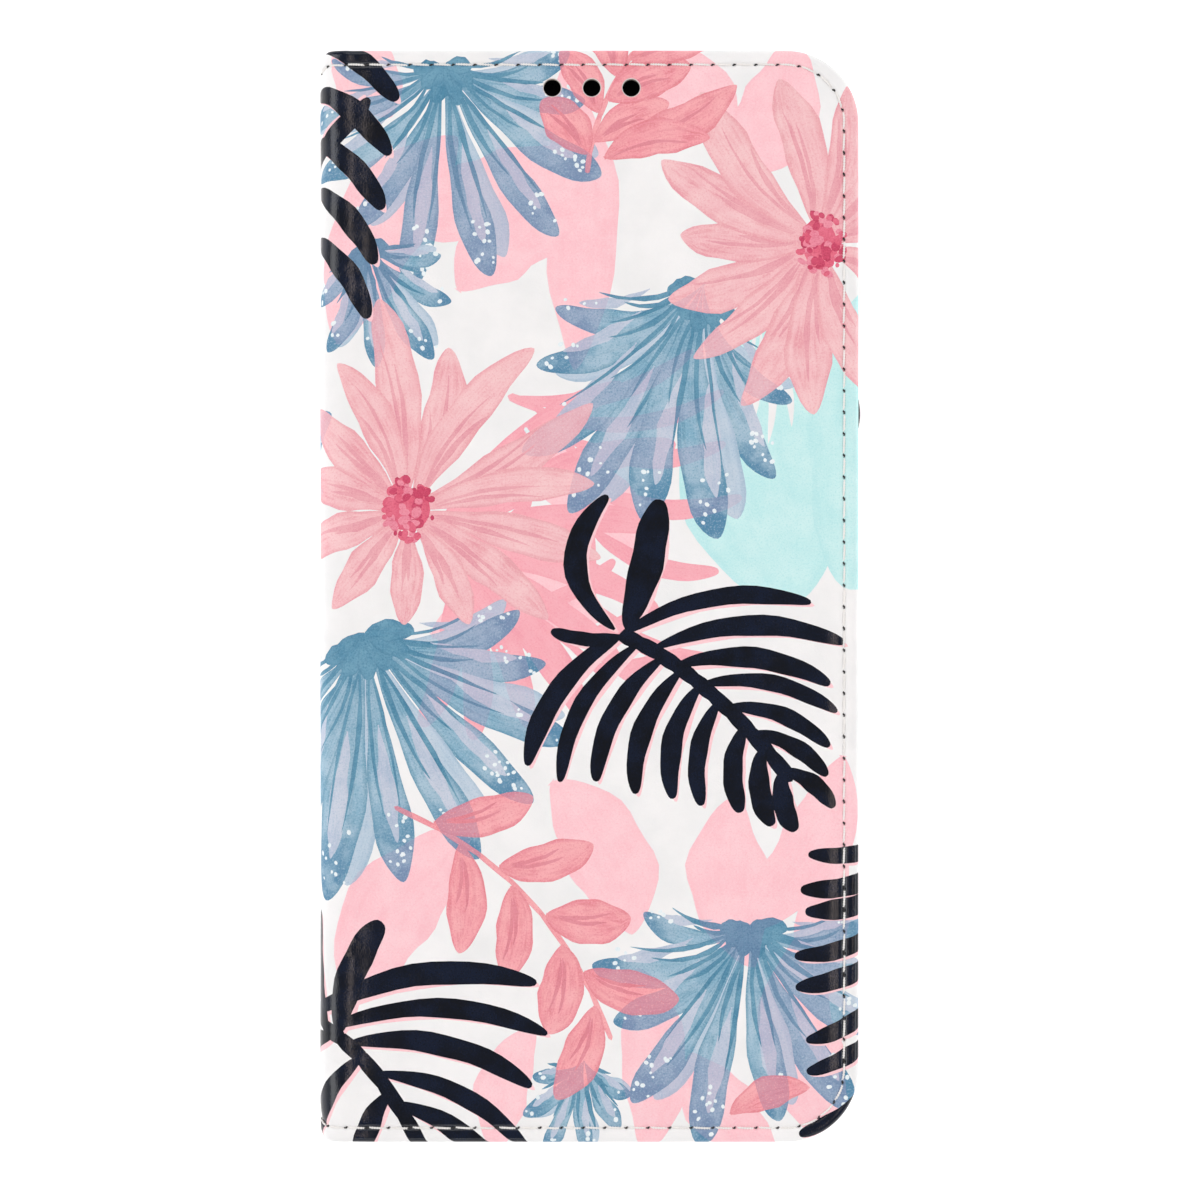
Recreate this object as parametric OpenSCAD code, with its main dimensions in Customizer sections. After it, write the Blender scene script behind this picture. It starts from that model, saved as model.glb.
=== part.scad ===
// Folio phone case: printed cover panels and spine, joined by two soft creases,
// round a moulded shell that holds the phone. Drawn closed, lying on its back.
// +X is the opening edge, -X the spine, +Y the top of the phone, +Z the front.

/* [Phone] */
// Width of the phone that the shell holds
phone_w = 73.6; // [68:0.2:78]
// Length of the phone
phone_l = 158.5; // [145:0.5:168]
// Thickness of the phone
phone_t = 7.9; // [7.4:0.1:9.5]
// Corner radius of the phone
phone_r = 9; // [7:0.5:11]

/* [Shell] */
// Thickness of the moulded side walls
shell_wall = 1.4; // [1.2:0.1:1.8]
// Thickness of the moulded floor
shell_floor = 1; // [0.8:0.1:1.4]
// Height of the lip above the phone's glass
lip_h = 0.5; // [0.4:0.1:1]
// How far the lip reaches in over the glass
lip_in = 0.8; // [0.5:0.1:1.2]
// How far the power button stands out of the wall
power_proud = 1.35; // [1:0.05:1.6]
// How far the volume button stands out of the wall
volume_proud = 0.95; // [0.6:0.05:1.2]

/* [Cover] */
// How far the cover reaches past the shell at top and bottom
overhang_y = 1.55; // [1:0.05:3]
// How far the cover reaches past the shell at the opening edge
overhang_x = 0.65; // [0.4:0.05:2]
// Radius of the two corners on the opening edge
corner_r = 11; // [8:0.5:14]
// Radius of the two corners on the spine edge
spine_corner_r = 2.5; // [1.5:0.1:3]
// Thickness of the printed skin
skin_t = 0.7; // [0.6:0.05:0.9]
// Thickness of the stiffening board in a panel
board_t = 0.8; // [0.6:0.05:1.2]
// Thickness of the skin where it is turned in
turn_t = 0.4; // [0.3:0.05:0.5]
// Width of the turned-in margin
turn_w = 5.4; // [4.5:0.1:7]
// Thickness of the lining
lining_t = 0.4; // [0.35:0.05:0.6]
// Thickness of each pocket panel
pocket_t = 0.35; // [0.3:0.05:0.4]
// Outer radius of the creases beside the spine
crease_r = 4; // [3.5:0.1:4.5]

/* [Seam] */
// Length of one stitch
stitch = 3.25; // [2.5:0.05:4]
// Distance of the seam from the edge
seam_inset = 2.2; // [1.8:0.1:2.6]
// Diameter of the sewing thread
thread_d = 0.4; // [0.3:0.05:0.4]

/* [Holes] */
// Diameter of each of the three earpiece holes
ear_d = 2.65; // [2:0.05:3.5]
// Distance between the earpiece holes
ear_pitch = 5.95; // [4.5:0.05:7]
// Width of the camera window in the shell
camera_w = 25; // [18:0.5:28]
// Length of the camera window in the shell
camera_l = 36; // [20:0.5:42]

/* [Hidden] */
$fn = 64;

// Layers of a panel, counted inwards from its outer face
board_z = skin_t;
turn_z = board_z + board_t;
lining_z = turn_z + turn_t;
panel_t = lining_z + lining_t;

// Shell, measured from the table
fit_gap = 0.1;
glue_t = 0.15;
shell_z = panel_t + glue_t;
bay_z = shell_z + shell_floor;
bay_h = phone_t + fit_gap;
shell_top = bay_z + bay_h + lip_h;
bay_w = phone_w + 2 * fit_gap;
bay_l = phone_l + 2 * fit_gap;
shell_w = bay_w + 2 * shell_wall;
shell_l = bay_l + 2 * shell_wall;
shell_h = shell_top - shell_z;

// The closed case
pocket_gap = 0.3;
pocket_count = 3;
case_t = shell_top + pocket_gap + pocket_count * pocket_t + panel_t;
case_l = shell_l + 2 * overhang_y;
spine_gap = 2.1;
spine_board_t = 0.6;
spine_t = skin_t + spine_board_t + turn_t + lining_t;
case_w = spine_t + spine_gap + shell_w + power_proud;
spine_x = -case_w / 2;
shell_x = spine_x + spine_t + spine_gap + shell_w / 2;
wall_x = shell_x + shell_w / 2;
edge_x = wall_x + overhang_x;
bay_mid_z = bay_z + bay_h / 2;

// Creases: each is an arc between a panel and the spine, split half way round
crease_x = spine_x + crease_r;
board_x = crease_x + 0.8;
split_gap = 2.6;
lining_inset = 1.2;
board_inset = skin_t + 0.1;

// Seam round a panel
seam_r = corner_r - seam_inset;
seam_x0 = board_x + 0.6;
seam_y = case_l / 2 - seam_inset;
corner_x = edge_x - corner_r;
corner_y = case_l / 2 - corner_r;
top_run = corner_x - seam_x0;
arc_run = PI / 2 * seam_r;
side_run = 2 * corner_y;
seam_run = 2 * top_run + 2 * arc_run + side_run;
groove_w = 0.8;
groove_d = thread_d + 0.02;
knot_l = 0.7;
knot_gap = 0.45;
bobbin_t = 0.2;

// Earpiece holes, camera window and ports
ear_x = 0.15;
ear_y = case_l / 2 - 5.7;
camera_x = wall_x - shell_wall - 4.5 - camera_w / 2;
camera_y = bay_l / 2 - 4 - camera_l / 2;
camera_r = 6;
camera_margin = 1;
camera_rim = 0.75;
camera_rim_z = 0.3;
port_w = 12.6;
port_h = 5.6;
jack_d = 6.8;
jack_x = shell_x - 17;
speaker_w = 13;
speaker_h = 2.8;
speaker_x = shell_x + 18;
mic_d = 1.8;

// Magnets
magnet_d = 7;
magnet_x = edge_x - turn_w - magnet_d / 2 - 1;
magnet_y = 14;

// Buttons
power_l = 11;
power_y = case_l / 2 - 54.5;
volume_l = 22;
volume_y = power_y + 21.5;
button_h = 3.6;
button_gap = 0.3;
button_back = 0.35;

// Pockets, each panel shorter than the one behind it
pocket_x0 = board_x + 8;
pocket_step = 8;
pocket_x1 = edge_x - 3.6;
pocket_y0 = -case_l / 2 + 3.6;
pocket_y1 = ear_y - 8;
pocket_r = 4;
pocket_seam = 1.6;
pocket_seam_top = pocket_x1 - pocket_seam - pocket_x0 - 1;
pocket_seam_side = pocket_y1 - pocket_y0 - 2 * pocket_seam;

// Outline of a panel, drawn in by inset, with its straight side at left
module panel2d(inset, left) {
    right = edge_x - inset;
    half = case_l / 2 - inset;
    r = corner_r - inset;
    translate([left, -half]) square([right - r - left, 2 * half]);
    translate([left, -half + r]) square([right - left, 2 * (half - r)]);
    for (side = [-1, 1]) translate([right - r, side * (half - r)]) circle(r);
}

// Rectangle with round corners, centred
module round_rect2d(w, l, r) {
    square([w - 2 * r, l], center = true);
    square([w, l - 2 * r], center = true);
    for (sx = [-1, 1]) for (sy = [-1, 1])
        translate([sx * (w / 2 - r), sy * (l / 2 - r)]) circle(r);
}

// A flat layer of a panel from height z0 to z1
module layer(z0, z1) {
    translate([0, 0, z0]) linear_extrude(z1 - z0) children();
}

// A profile in X and Z drawn out along Y
module along_y(length) {
    rotate([90, 0, 0]) linear_extrude(length, center = true) children();
}

// Sector of a ring round the crease's centre, from angle a0 to a1
module crease2d(r_in, r_out, a0, a1) {
    far = 3 * r_out;
    translate([crease_x, crease_r]) intersection() {
        difference() {
            circle(r_out);
            circle(r_in);
        }
        polygon([[0, 0], [far * cos(a0), far * sin(a0)], [far * cos(a1), far * sin(a1)]]);
    }
}

// Outline with the two round corners on the spine edge, drawn in by inset
module spine_side2d(inset) {
    half = case_l / 2 - inset;
    r = spine_corner_r - inset;
    translate([spine_x + inset + r, -half]) square([case_w, 2 * half]);
    translate([spine_x + inset, r - half]) square([case_w, 2 * (half - r)]);
    for (side = [-1, 1]) translate([spine_x + inset + r, side * (half - r)]) circle(r);
}

// Rounds off whatever reaches the two corners on the spine edge
module trim_spine_corners(inset = 0) {
    intersection() {
        children();
        linear_extrude(case_t) spine_side2d(inset);
    }
}

// Turns a panel drawn outer face down into the front panel
module as_front() {
    translate([0, 0, case_t]) mirror([0, 0, 1]) children();
}

module camera2d(margin) {
    translate([camera_x, camera_y])
        round_rect2d(camera_w + 2 * margin, camera_l + 2 * margin, camera_r + margin);
}

module ear_holes() {
    for (i = [-1:1])
        translate([ear_x + i * ear_pitch, ear_y, -1]) cylinder(h = panel_t + 2, d = ear_d);
}

module camera_hole() {
    layer(-1, panel_t + 1) camera2d(camera_margin);
}

// The channel that the seam pulls into the skin or lining
module seam_groove(z0, z1) {
    layer(z0, z1) difference() {
        panel2d(seam_inset - groove_w / 2, seam_x0);
        panel2d(seam_inset + groove_w / 2, seam_x0 - 1);
    }
}

// Outer skin: top sheet, rim, turned-in margin and the panel's half of the crease
module panel_skin() {
    trim_spine_corners() difference() {
        union() {
            layer(0, board_z) panel2d(0, crease_x);
            layer(board_z, lining_z) difference() {
                panel2d(0, board_x);
                panel2d(skin_t, board_x - 1);
            }
            layer(turn_z, lining_z) difference() {
                panel2d(skin_t, board_x);
                panel2d(turn_w, board_x - 1);
            }
            along_y(case_l) crease2d(crease_r - skin_t, crease_r, 225 + split_gap, 270);
        }
        seam_groove(-1, groove_d);
    }
}

module panel_board() {
    layer(board_z, turn_z) panel2d(board_inset, board_x);
}

module panel_padding() {
    layer(turn_z, lining_z) panel2d(turn_w + 0.1, board_x);
}

// Lining: flat sheet, the slope off the board and the panel's half of the crease
module panel_lining() {
    length = case_l - 2 * lining_inset;
    trim_spine_corners() difference() {
        union() {
            layer(lining_z, panel_t) panel2d(lining_inset, board_x);
            along_y(length) polygon([
                [board_x, panel_t], [board_x, lining_z],
                [crease_x, skin_t], [crease_x, skin_t + lining_t]
            ]);
            along_y(length)
                crease2d(crease_r - skin_t - lining_t, crease_r - skin_t, 225 + split_gap, 270);
        }
        seam_groove(panel_t - bobbin_t, panel_t + 1);
    }
}

module magnets(clearance) {
    for (side = [-1, 1])
        translate([magnet_x, side * magnet_y, board_z])
            cylinder(h = board_t, d = magnet_d + 2 * clearance);
}

// Where the seam has got to after running s from the spine edge at the top
function seam_at(s) =
    s < top_run ? [seam_x0 + s, seam_y]
    : s < top_run + arc_run ?
        let(a = 90 - 90 * (s - top_run) / arc_run)
        [corner_x + seam_r * cos(a), corner_y + seam_r * sin(a)]
    : s < top_run + arc_run + side_run ?
        [corner_x + seam_r, corner_y - (s - top_run - arc_run)]
    : s < top_run + 2 * arc_run + side_run ?
        let(a = -90 * (s - top_run - arc_run - side_run) / arc_run)
        [corner_x + seam_r * cos(a), -corner_y + seam_r * sin(a)]
    : [corner_x - (s - top_run - 2 * arc_run - side_run), -seam_y];

seam_count = round(seam_run / stitch);
function seam_point(i) = seam_at(i * seam_run / seam_count);

// Places its children half way from a to b, turned so that +X runs from a to b
module between(a, b) {
    translate([(a.x + b.x) / 2, (a.y + b.y) / 2, 0])
        rotate([0, 0, atan2(b.y - a.y, b.x - a.x)]) children();
}

module rod(length, d) {
    rotate([0, 90, 0]) cylinder(h = length, d = d, center = true, $fn = 16);
}

// White thread on the outer face, one rod for each stitch
module panel_needle_thread() {
    for (i = [0:seam_count - 1]) {
        a = seam_point(i);
        b = seam_point(i + 1);
        between(a, b) translate([0, 0, groove_d - thread_d / 2])
            rod(norm(b - a) - 2 * knot_gap, thread_d);
    }
}

// Black thread: a knot at each needle hole and a flat run on the lining
module panel_bobbin_thread() {
    for (i = [1:seam_count - 1]) {
        a = seam_point(i - 1);
        b = seam_point(i + 1);
        translate([seam_point(i).x, seam_point(i).y, groove_d - thread_d / 2])
            rotate([0, 0, atan2(b.y - a.y, b.x - a.x)]) rod(knot_l, thread_d);
    }
    for (i = [0:seam_count - 1]) {
        a = seam_point(i);
        b = seam_point(i + 1);
        between(a, b) translate([0, 0, panel_t - bobbin_t / 2])
            cube([norm(b - a) - 0.3, thread_d, bobbin_t], center = true);
    }
}

// Back panel
module back_skin() {
    color("mistyrose") difference() {
        panel_skin();
        camera_hole();
    }
}
module back_board() {
    color("tan") difference() {
        panel_board();
        camera_hole();
        magnets(0.05);
    }
}
module back_padding() {
    color("dimgray") difference() {
        panel_padding();
        camera_hole();
    }
}
module back_lining() {
    color([0.1, 0.1, 0.11]) difference() {
        panel_lining();
        camera_hole();
    }
}
module back_magnets() {
    color("silver") magnets(0);
}
module back_needle_thread() {
    color("white") panel_needle_thread();
}
module back_bobbin_thread() {
    color([0.05, 0.05, 0.05]) panel_bobbin_thread();
}

// Front panel
module front_skin() {
    color("mistyrose") as_front() difference() {
        panel_skin();
        ear_holes();
    }
}
module front_board() {
    color("tan") as_front() difference() {
        panel_board();
        ear_holes();
        magnets(0.05);
    }
}
module front_padding() {
    color("dimgray") as_front() difference() {
        panel_padding();
        ear_holes();
    }
}
module front_lining() {
    color([0.1, 0.1, 0.11]) as_front() difference() {
        panel_lining();
        ear_holes();
    }
}
module front_magnets() {
    color("silver") as_front() magnets(0);
}
module front_needle_thread() {
    color("white") as_front() panel_needle_thread();
}
module front_bobbin_thread() {
    color([0.05, 0.05, 0.05]) as_front() panel_bobbin_thread();
}

// Pockets on the front panel's lining
module pocket2d(inset, left) {
    right = pocket_x1 - inset;
    low = pocket_y0 + inset;
    high = pocket_y1 - inset;
    r = pocket_r - inset;
    translate([left, low]) square([right - r - left, high - low]);
    translate([left, low + r]) square([right - left, high - low - 2 * r]);
    for (y = [low + r, high - r]) translate([right - r, y]) circle(r);
}

// Pocket panel number k, counted inwards from the lining
module pocket_panel(k) {
    left = pocket_x0 + k * pocket_step;
    base = panel_t + k * pocket_t;
    color([0.13, 0.13, 0.14]) as_front() difference() {
        layer(base, base + pocket_t) pocket2d(0, left);
        layer(base + pocket_t - bobbin_t, base + pocket_t + 1) difference() {
            pocket2d(pocket_seam - groove_w / 2, pocket_x0 - 1);
            pocket2d(pocket_seam + groove_w / 2, pocket_x0 - 2);
        }
    }
}

// Seam that holds the pockets along their top, opening edge and bottom
module pocket_thread() {
    across = round(pocket_seam_top / stitch);
    down = round(pocket_seam_side / stitch);
    step_x = pocket_seam_top / across;
    step_y = pocket_seam_side / down;
    seam_x1 = pocket_x1 - pocket_seam;
    color([0.85, 0.85, 0.85]) as_front() {
        for (y = [pocket_y0 + pocket_seam, pocket_y1 - pocket_seam]) for (i = [0:across - 1]) {
            x = seam_x1 - (i + 0.5) * step_x;
            layers = 1 + (x - step_x / 2 > pocket_x0 + pocket_step ? 1 : 0)
                + (x - step_x / 2 > pocket_x0 + 2 * pocket_step ? 1 : 0);
            beside_edge = min([for (k = [1:2]) abs(x - pocket_x0 - k * pocket_step)]) < step_x / 2;
            if (i > 0 && !beside_edge)
                translate([x, y, panel_t + layers * pocket_t - bobbin_t / 2])
                    cube([step_x - 0.8, thread_d, bobbin_t], center = true);
        }
        for (i = [1:down - 2])
            translate([
                seam_x1,
                pocket_y0 + pocket_seam + (i + 0.5) * step_y,
                panel_t + pocket_count * pocket_t - bobbin_t / 2
            ]) cube([thread_d, step_y - 0.8, bobbin_t], center = true);
    }
}

// The spine's half of the lower crease, for a layer at depth d0 to d1
module spine_half_crease(d0, d1, length) {
    along_y(length) crease2d(crease_r - d1, crease_r - d0, 180, 225 - split_gap);
}

// Draws its children at the lower crease and mirrored at the upper one
module at_both_creases() {
    children();
    as_front() children();
}

spine_lining_x = spine_x + skin_t + spine_board_t + turn_t;
spine_bend = 0.6;

// A band of the spine's outline in plan, from x0 to x1, between two insets
module spine_band2d(inset0, inset1, x0, x1) {
    intersection() {
        difference() {
            spine_side2d(inset0);
            spine_side2d(inset1);
        }
        translate([x0, -case_l / 2]) square([x1 - x0, case_l]);
    }
}

module spine_skin() {
    flat = case_t - 2 * crease_r;
    bend_z = crease_r + spine_bend;
    inner_x = spine_lining_x - turn_t;
    color("mistyrose") difference() {
        union() {
            layer(crease_r, case_t - crease_r)
                spine_band2d(0, skin_t, spine_x, spine_x + skin_t);
            layer(bend_z, case_t - bend_z)
                spine_band2d(0, skin_t, spine_x, spine_lining_x);
            layer(bend_z, case_t - bend_z) intersection() {
                spine_side2d(0);
                for (side = [-1, 1])
                    translate([inner_x, side * (case_l - turn_w) / 2 - turn_w / 2])
                        square([turn_t, turn_w]);
            }
            trim_spine_corners() at_both_creases() spine_half_crease(0, skin_t, case_l);
        }
        for (side = [-1, 1])
            translate([spine_x, side * seam_y, case_t / 2])
                cube([2 * groove_d, groove_w, flat], center = true);
    }
}

module spine_board() {
    color("tan") trim_spine_corners(board_inset)
        translate([spine_x + skin_t, -case_l / 2, crease_r + spine_bend])
            cube([spine_board_t, case_l, case_t - 2 * (crease_r + spine_bend)]);
}

module spine_lining() {
    length = case_l - 2 * lining_inset;
    bend_z = crease_r + spine_bend;
    color([0.1, 0.1, 0.11]) trim_spine_corners() {
        translate([spine_lining_x, -length / 2, bend_z])
            cube([lining_t, length, case_t - 2 * bend_z]);
        at_both_creases() {
            along_y(length) polygon([
                [spine_lining_x + lining_t, bend_z], [spine_lining_x, bend_z],
                [spine_x + skin_t, crease_r], [spine_x + skin_t + lining_t, crease_r]
            ]);
            spine_half_crease(skin_t, skin_t + lining_t, length);
        }
    }
}

// Stitches that cross the two ends of the spine
spine_stitches = 2;
spine_step = (case_t - 2 * crease_r) / spine_stitches;

module spine_needle_thread() {
    color("white") for (side = [-1, 1]) for (i = [0:spine_stitches - 1])
        translate([
            spine_x + groove_d - thread_d / 2, side * seam_y, crease_r + (i + 0.5) * spine_step
        ]) cylinder(h = spine_step - 2 * knot_gap, d = thread_d, center = true, $fn = 16);
}

module spine_bobbin_thread() {
    color([0.05, 0.05, 0.05]) for (side = [-1, 1]) for (i = [1:spine_stitches - 1])
        translate([spine_x + groove_d - thread_d / 2, side * seam_y, crease_r + i * spine_step])
            cylinder(h = knot_l, d = thread_d, center = true, $fn = 16);
}

// Sheet of double-sided tape between the lining and the shell
module shell_adhesive() {
    color("whitesmoke") layer(panel_t, shell_z) difference() {
        translate([shell_x, 0]) round_rect2d(shell_w - 6, shell_l - 6, 6);
        camera2d(camera_margin);
    }
}

// Slot with round ends through the wall at side, -1 at the bottom and 1 at the top
module end_slot(x, w, h, side) {
    translate([x, side * (bay_l / 2 + shell_wall / 2), bay_mid_z]) rotate([90, 0, 0])
        linear_extrude(4 * shell_wall, center = true) {
            if (w > h) square([w - h, h], center = true);
            for (s = [-1, 1]) translate([s * (w - h) / 2, 0]) circle(d = h);
        }
}

// Opening in the right-hand wall for a button of length l
module button_window(y, l) {
    translate([wall_x - shell_wall / 2, y, bay_mid_z])
        cube([2 * shell_wall, l + 2 * button_gap, button_h + 2 * button_gap], center = true);
}

// Moulded shell: floor, walls and the lip that snaps over the phone
module phone_shell() {
    foot = 0.6;
    color([0.09, 0.09, 0.1]) difference() {
        translate([shell_x, 0, 0]) union() {
            layer(shell_z, shell_z + foot)
                round_rect2d(shell_w - 2 * foot, shell_l - 2 * foot, phone_r + shell_wall - foot);
            layer(shell_z + foot, shell_top)
                round_rect2d(shell_w, shell_l, phone_r + shell_wall);
            translate([-shell_x, 0, 0]) layer(camera_rim_z, bay_z) camera2d(camera_rim);
        }
        translate([shell_x, 0, 0]) {
            layer(bay_z, bay_z + bay_h) round_rect2d(bay_w, bay_l, phone_r);
            layer(bay_z + 1, shell_top + 1)
                round_rect2d(bay_w - 2 * lip_in, bay_l - 2 * lip_in, phone_r - lip_in);
        }
        layer(0, bay_z + 1) camera2d(0);
        end_slot(shell_x, port_w, port_h, -1);
        end_slot(jack_x, jack_d, jack_d, -1);
        end_slot(speaker_x, speaker_w, speaker_h, -1);
        end_slot(shell_x - 9.5, mic_d, mic_d, -1);
        end_slot(shell_x + 20, mic_d, mic_d, 1);
        button_window(power_y, power_l);
        button_window(volume_y, volume_l);
    }
}

// Button pad with round ends that fills its opening in the wall
module button_pad(y, l, proud) {
    depth = shell_wall - button_back + proud;
    color([0.09, 0.09, 0.1])
        translate([wall_x + proud - depth, y, bay_mid_z]) rotate([0, 90, 0]) linear_extrude(depth) {
            square([button_h, l - button_h], center = true);
            for (side = [-1, 1]) translate([0, side * (l - button_h) / 2]) circle(d = button_h);
        }
}

back_skin();
back_board();
back_padding();
back_lining();
back_magnets();
back_needle_thread();
back_bobbin_thread();
shell_adhesive();
phone_shell();
spine_skin();
spine_board();
spine_lining();
spine_needle_thread();
spine_bobbin_thread();
front_skin();
front_board();
front_padding();
front_lining();
front_magnets();
pocket_panel(0);  // money_pocket
pocket_panel(1);  // outer_card_pocket
pocket_panel(2);  // inner_card_pocket
pocket_thread();
front_needle_thread();
front_bobbin_thread();
button_pad(power_y, power_l, power_proud);  // power_button
button_pad(volume_y, volume_l, volume_proud);  // volume_button
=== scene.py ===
# A folio phone case: printed soft skin, black lining, stitched seam, moulded shell.
# Lengths are in millimetres until a mesh is made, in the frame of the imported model.
import math

import bmesh
import bpy
import numpy as np
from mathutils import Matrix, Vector
from mathutils.geometry import delaunay_2d_cdt


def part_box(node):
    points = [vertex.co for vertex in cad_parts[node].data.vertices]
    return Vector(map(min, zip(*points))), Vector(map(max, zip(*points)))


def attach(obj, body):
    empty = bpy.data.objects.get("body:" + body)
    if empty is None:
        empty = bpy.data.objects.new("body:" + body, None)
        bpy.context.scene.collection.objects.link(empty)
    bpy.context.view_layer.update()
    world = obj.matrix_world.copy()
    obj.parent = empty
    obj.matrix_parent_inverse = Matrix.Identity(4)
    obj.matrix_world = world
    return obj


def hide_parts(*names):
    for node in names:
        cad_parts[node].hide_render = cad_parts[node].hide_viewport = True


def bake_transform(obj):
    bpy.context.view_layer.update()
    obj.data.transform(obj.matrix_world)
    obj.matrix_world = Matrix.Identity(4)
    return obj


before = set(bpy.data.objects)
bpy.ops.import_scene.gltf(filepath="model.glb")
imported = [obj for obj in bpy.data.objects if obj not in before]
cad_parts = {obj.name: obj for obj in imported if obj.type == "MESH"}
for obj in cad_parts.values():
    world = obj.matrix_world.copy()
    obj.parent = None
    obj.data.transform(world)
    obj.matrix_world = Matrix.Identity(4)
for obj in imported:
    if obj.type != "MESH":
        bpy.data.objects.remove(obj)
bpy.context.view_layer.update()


def node_box(name):
    low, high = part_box(name)
    return np.array(low) * 1000, np.array(high) * 1000


# ---- sizes from the frame
EDGE_X, HALF_L, CASE_T = node_box("front_skin")[1]
SPINE_X = node_box("spine_skin")[0][0]
WALL_X = node_box("phone_shell")[1][0]
PANEL_T = CASE_T - node_box("front_padding")[0][2]
CORNER_R = 11.0
SPINE_R = 2.0
LINING_T = 0.4
BEND_T = 1.1
SPINE_T = 1.7
SKIN_T = 0.36
ROLL_W = 0.9
ROLL_L = 2.9
MARGIN = 5.4
SEAM_IN = 2.2
STITCH = 3.25
RELEASE_X = -33.0
SPINE_BEND_Z = 10.8
CREASE_R = 4.0
HINGE_X = SPINE_X + CREASE_R * (1 - math.cos(math.pi / 4))
HINGE_IN = HINGE_X - SPINE_X
BOARD_X = (-37.2, -35.95)  # over this stretch the panel swells from the thin crease
EAR_Y, EAR_R = HALF_L - 5.7, 1.32
EARS = [0.15 + i * 5.95 for i in (-1, 0, 1)]
# the camera window: middle, half width, half length, corner radius
CAMERA = (WALL_X - 1.4 - 4.5 - 12.5, HALF_L - 24.95, 12.5, 18.0, 6.0)


# ---- section of the cover
def section_table():
    """The front half of the cover's outer line in X and Z, from mid-spine to the panel."""
    t = np.linspace(0, 1, 160)[:, None]
    a = np.array([RELEASE_X, CASE_T])
    b = np.array([-38.5, CASE_T])
    c = np.array([SPINE_X, CASE_T - 1.0])
    d = np.array([SPINE_X, SPINE_BEND_Z])
    bend = a * (1 - t) ** 3 + 3 * b * (1 - t) ** 2 * t + 3 * c * (1 - t) * t**2 + d * t**3
    down = np.linspace(SPINE_BEND_Z, CASE_T / 2, 14)[1:]
    line = np.vstack([bend, np.column_stack([np.full(len(down), SPINE_X), down])])
    step = np.hypot(*np.diff(line, axis=0).T)
    u = RELEASE_X - np.concatenate([[0], np.cumsum(step)])
    tangent = np.gradient(line, u, axis=0)
    tangent[:2] = (1, 0)
    order = np.argsort(u)
    return u[order], line[order], tangent[order]


SEC_U, SEC_P, SEC_T = section_table()
MID_U = SEC_U[0]


def section(u):
    """Point and outward normal of the outer line at u; the panel is flat from RELEASE_X on."""
    x = np.where(u > RELEASE_X, u, np.interp(u, SEC_U, SEC_P[:, 0]))
    z = np.interp(u, SEC_U, SEC_P[:, 1])
    tx = np.interp(u, SEC_U, SEC_T[:, 0])
    tz = np.interp(u, SEC_U, SEC_T[:, 1])
    size = np.hypot(tx, tz)
    return x, z, tx / size, tz / size


def smooth(a, b, x):
    t = np.clip((x - a) / (b - a), 0, 1)
    return t * t * (3 - 2 * t)


SPINE_U = MID_U + SPINE_BEND_Z - CASE_T / 2


def thickness(u):
    """Thickness of board and skins together: panel, thin crease, spine."""
    panel = smooth(*BOARD_X, u)
    spine = smooth(SPINE_U + 0.6, SPINE_U - 0.1, u)
    return BEND_T + (PANEL_T - BEND_T) * panel + (SPINE_T - BEND_T) * spine


def inset(u, v):
    """Distance in from the outline, and the outward direction, in the flat sheet."""
    qx, qy = u - (EDGE_X - CORNER_R), np.abs(v) - (HALF_L - CORNER_R)
    far = np.hypot(qx, qy)
    corner = (qx > 0) & (qy > 0)
    d = CORNER_R - np.where(corner, far, np.maximum(qx, qy))
    gx = np.where(corner, qx / np.maximum(far, 1e-9), np.where(qx > qy, 1.0, 0.0))
    gy = np.where(corner, qy / np.maximum(far, 1e-9), np.where(qx > qy, 0.0, 1.0))
    return d, gx, gy * np.sign(v)


def wobble(u, v):
    """Slow, shallow waves that a glued sheet has."""
    return (
        0.035 * np.sin(u * 0.21 + 1.3) * np.sin(v * 0.13 + 0.4)
        + 0.02 * np.sin(u * 0.47 - v * 0.31)
        - 0.055
    )


def relief(u, v, d):
    """Height of the outer face: the seam's dent, the fall towards it and the crease's ripples."""
    seam = d - SEAM_IN
    dent = -0.17 * np.exp(-((seam / 0.42) ** 2))
    fall = -0.24 * (1 - smooth(-0.2, 2.7, seam)) * smooth(-0.5, 0.1, seam)
    hem = -0.06 * smooth(0.0, -0.6, seam)
    ripple = 0.05 * np.sin(v * 1.9 + 2.2 * np.sin(v * 0.37)) * np.exp(-(((u + 36.2) / 1.6) ** 2))
    hinge = -0.06 * np.exp(-(((u + 34.6) / 1.0) ** 2))
    return dent + fall + hem + ripple + hinge + wobble(u, v) * smooth(2.5, 12, d)


def settle(point, normal, side):
    """Rounds the spine's ends and turns the back half over."""
    near = np.clip(SPINE_R - (point[:, 0] - SPINE_X), 0, SPINE_R)
    cut = SPINE_R - np.sqrt(np.maximum(SPINE_R**2 - near**2, 0))
    point[:, 1] *= 1 - cut / HALF_L
    if side < 0:
        point[:, 2] = CASE_T - point[:, 2]
        normal[:, 2] *= -1
    return point, normal


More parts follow.
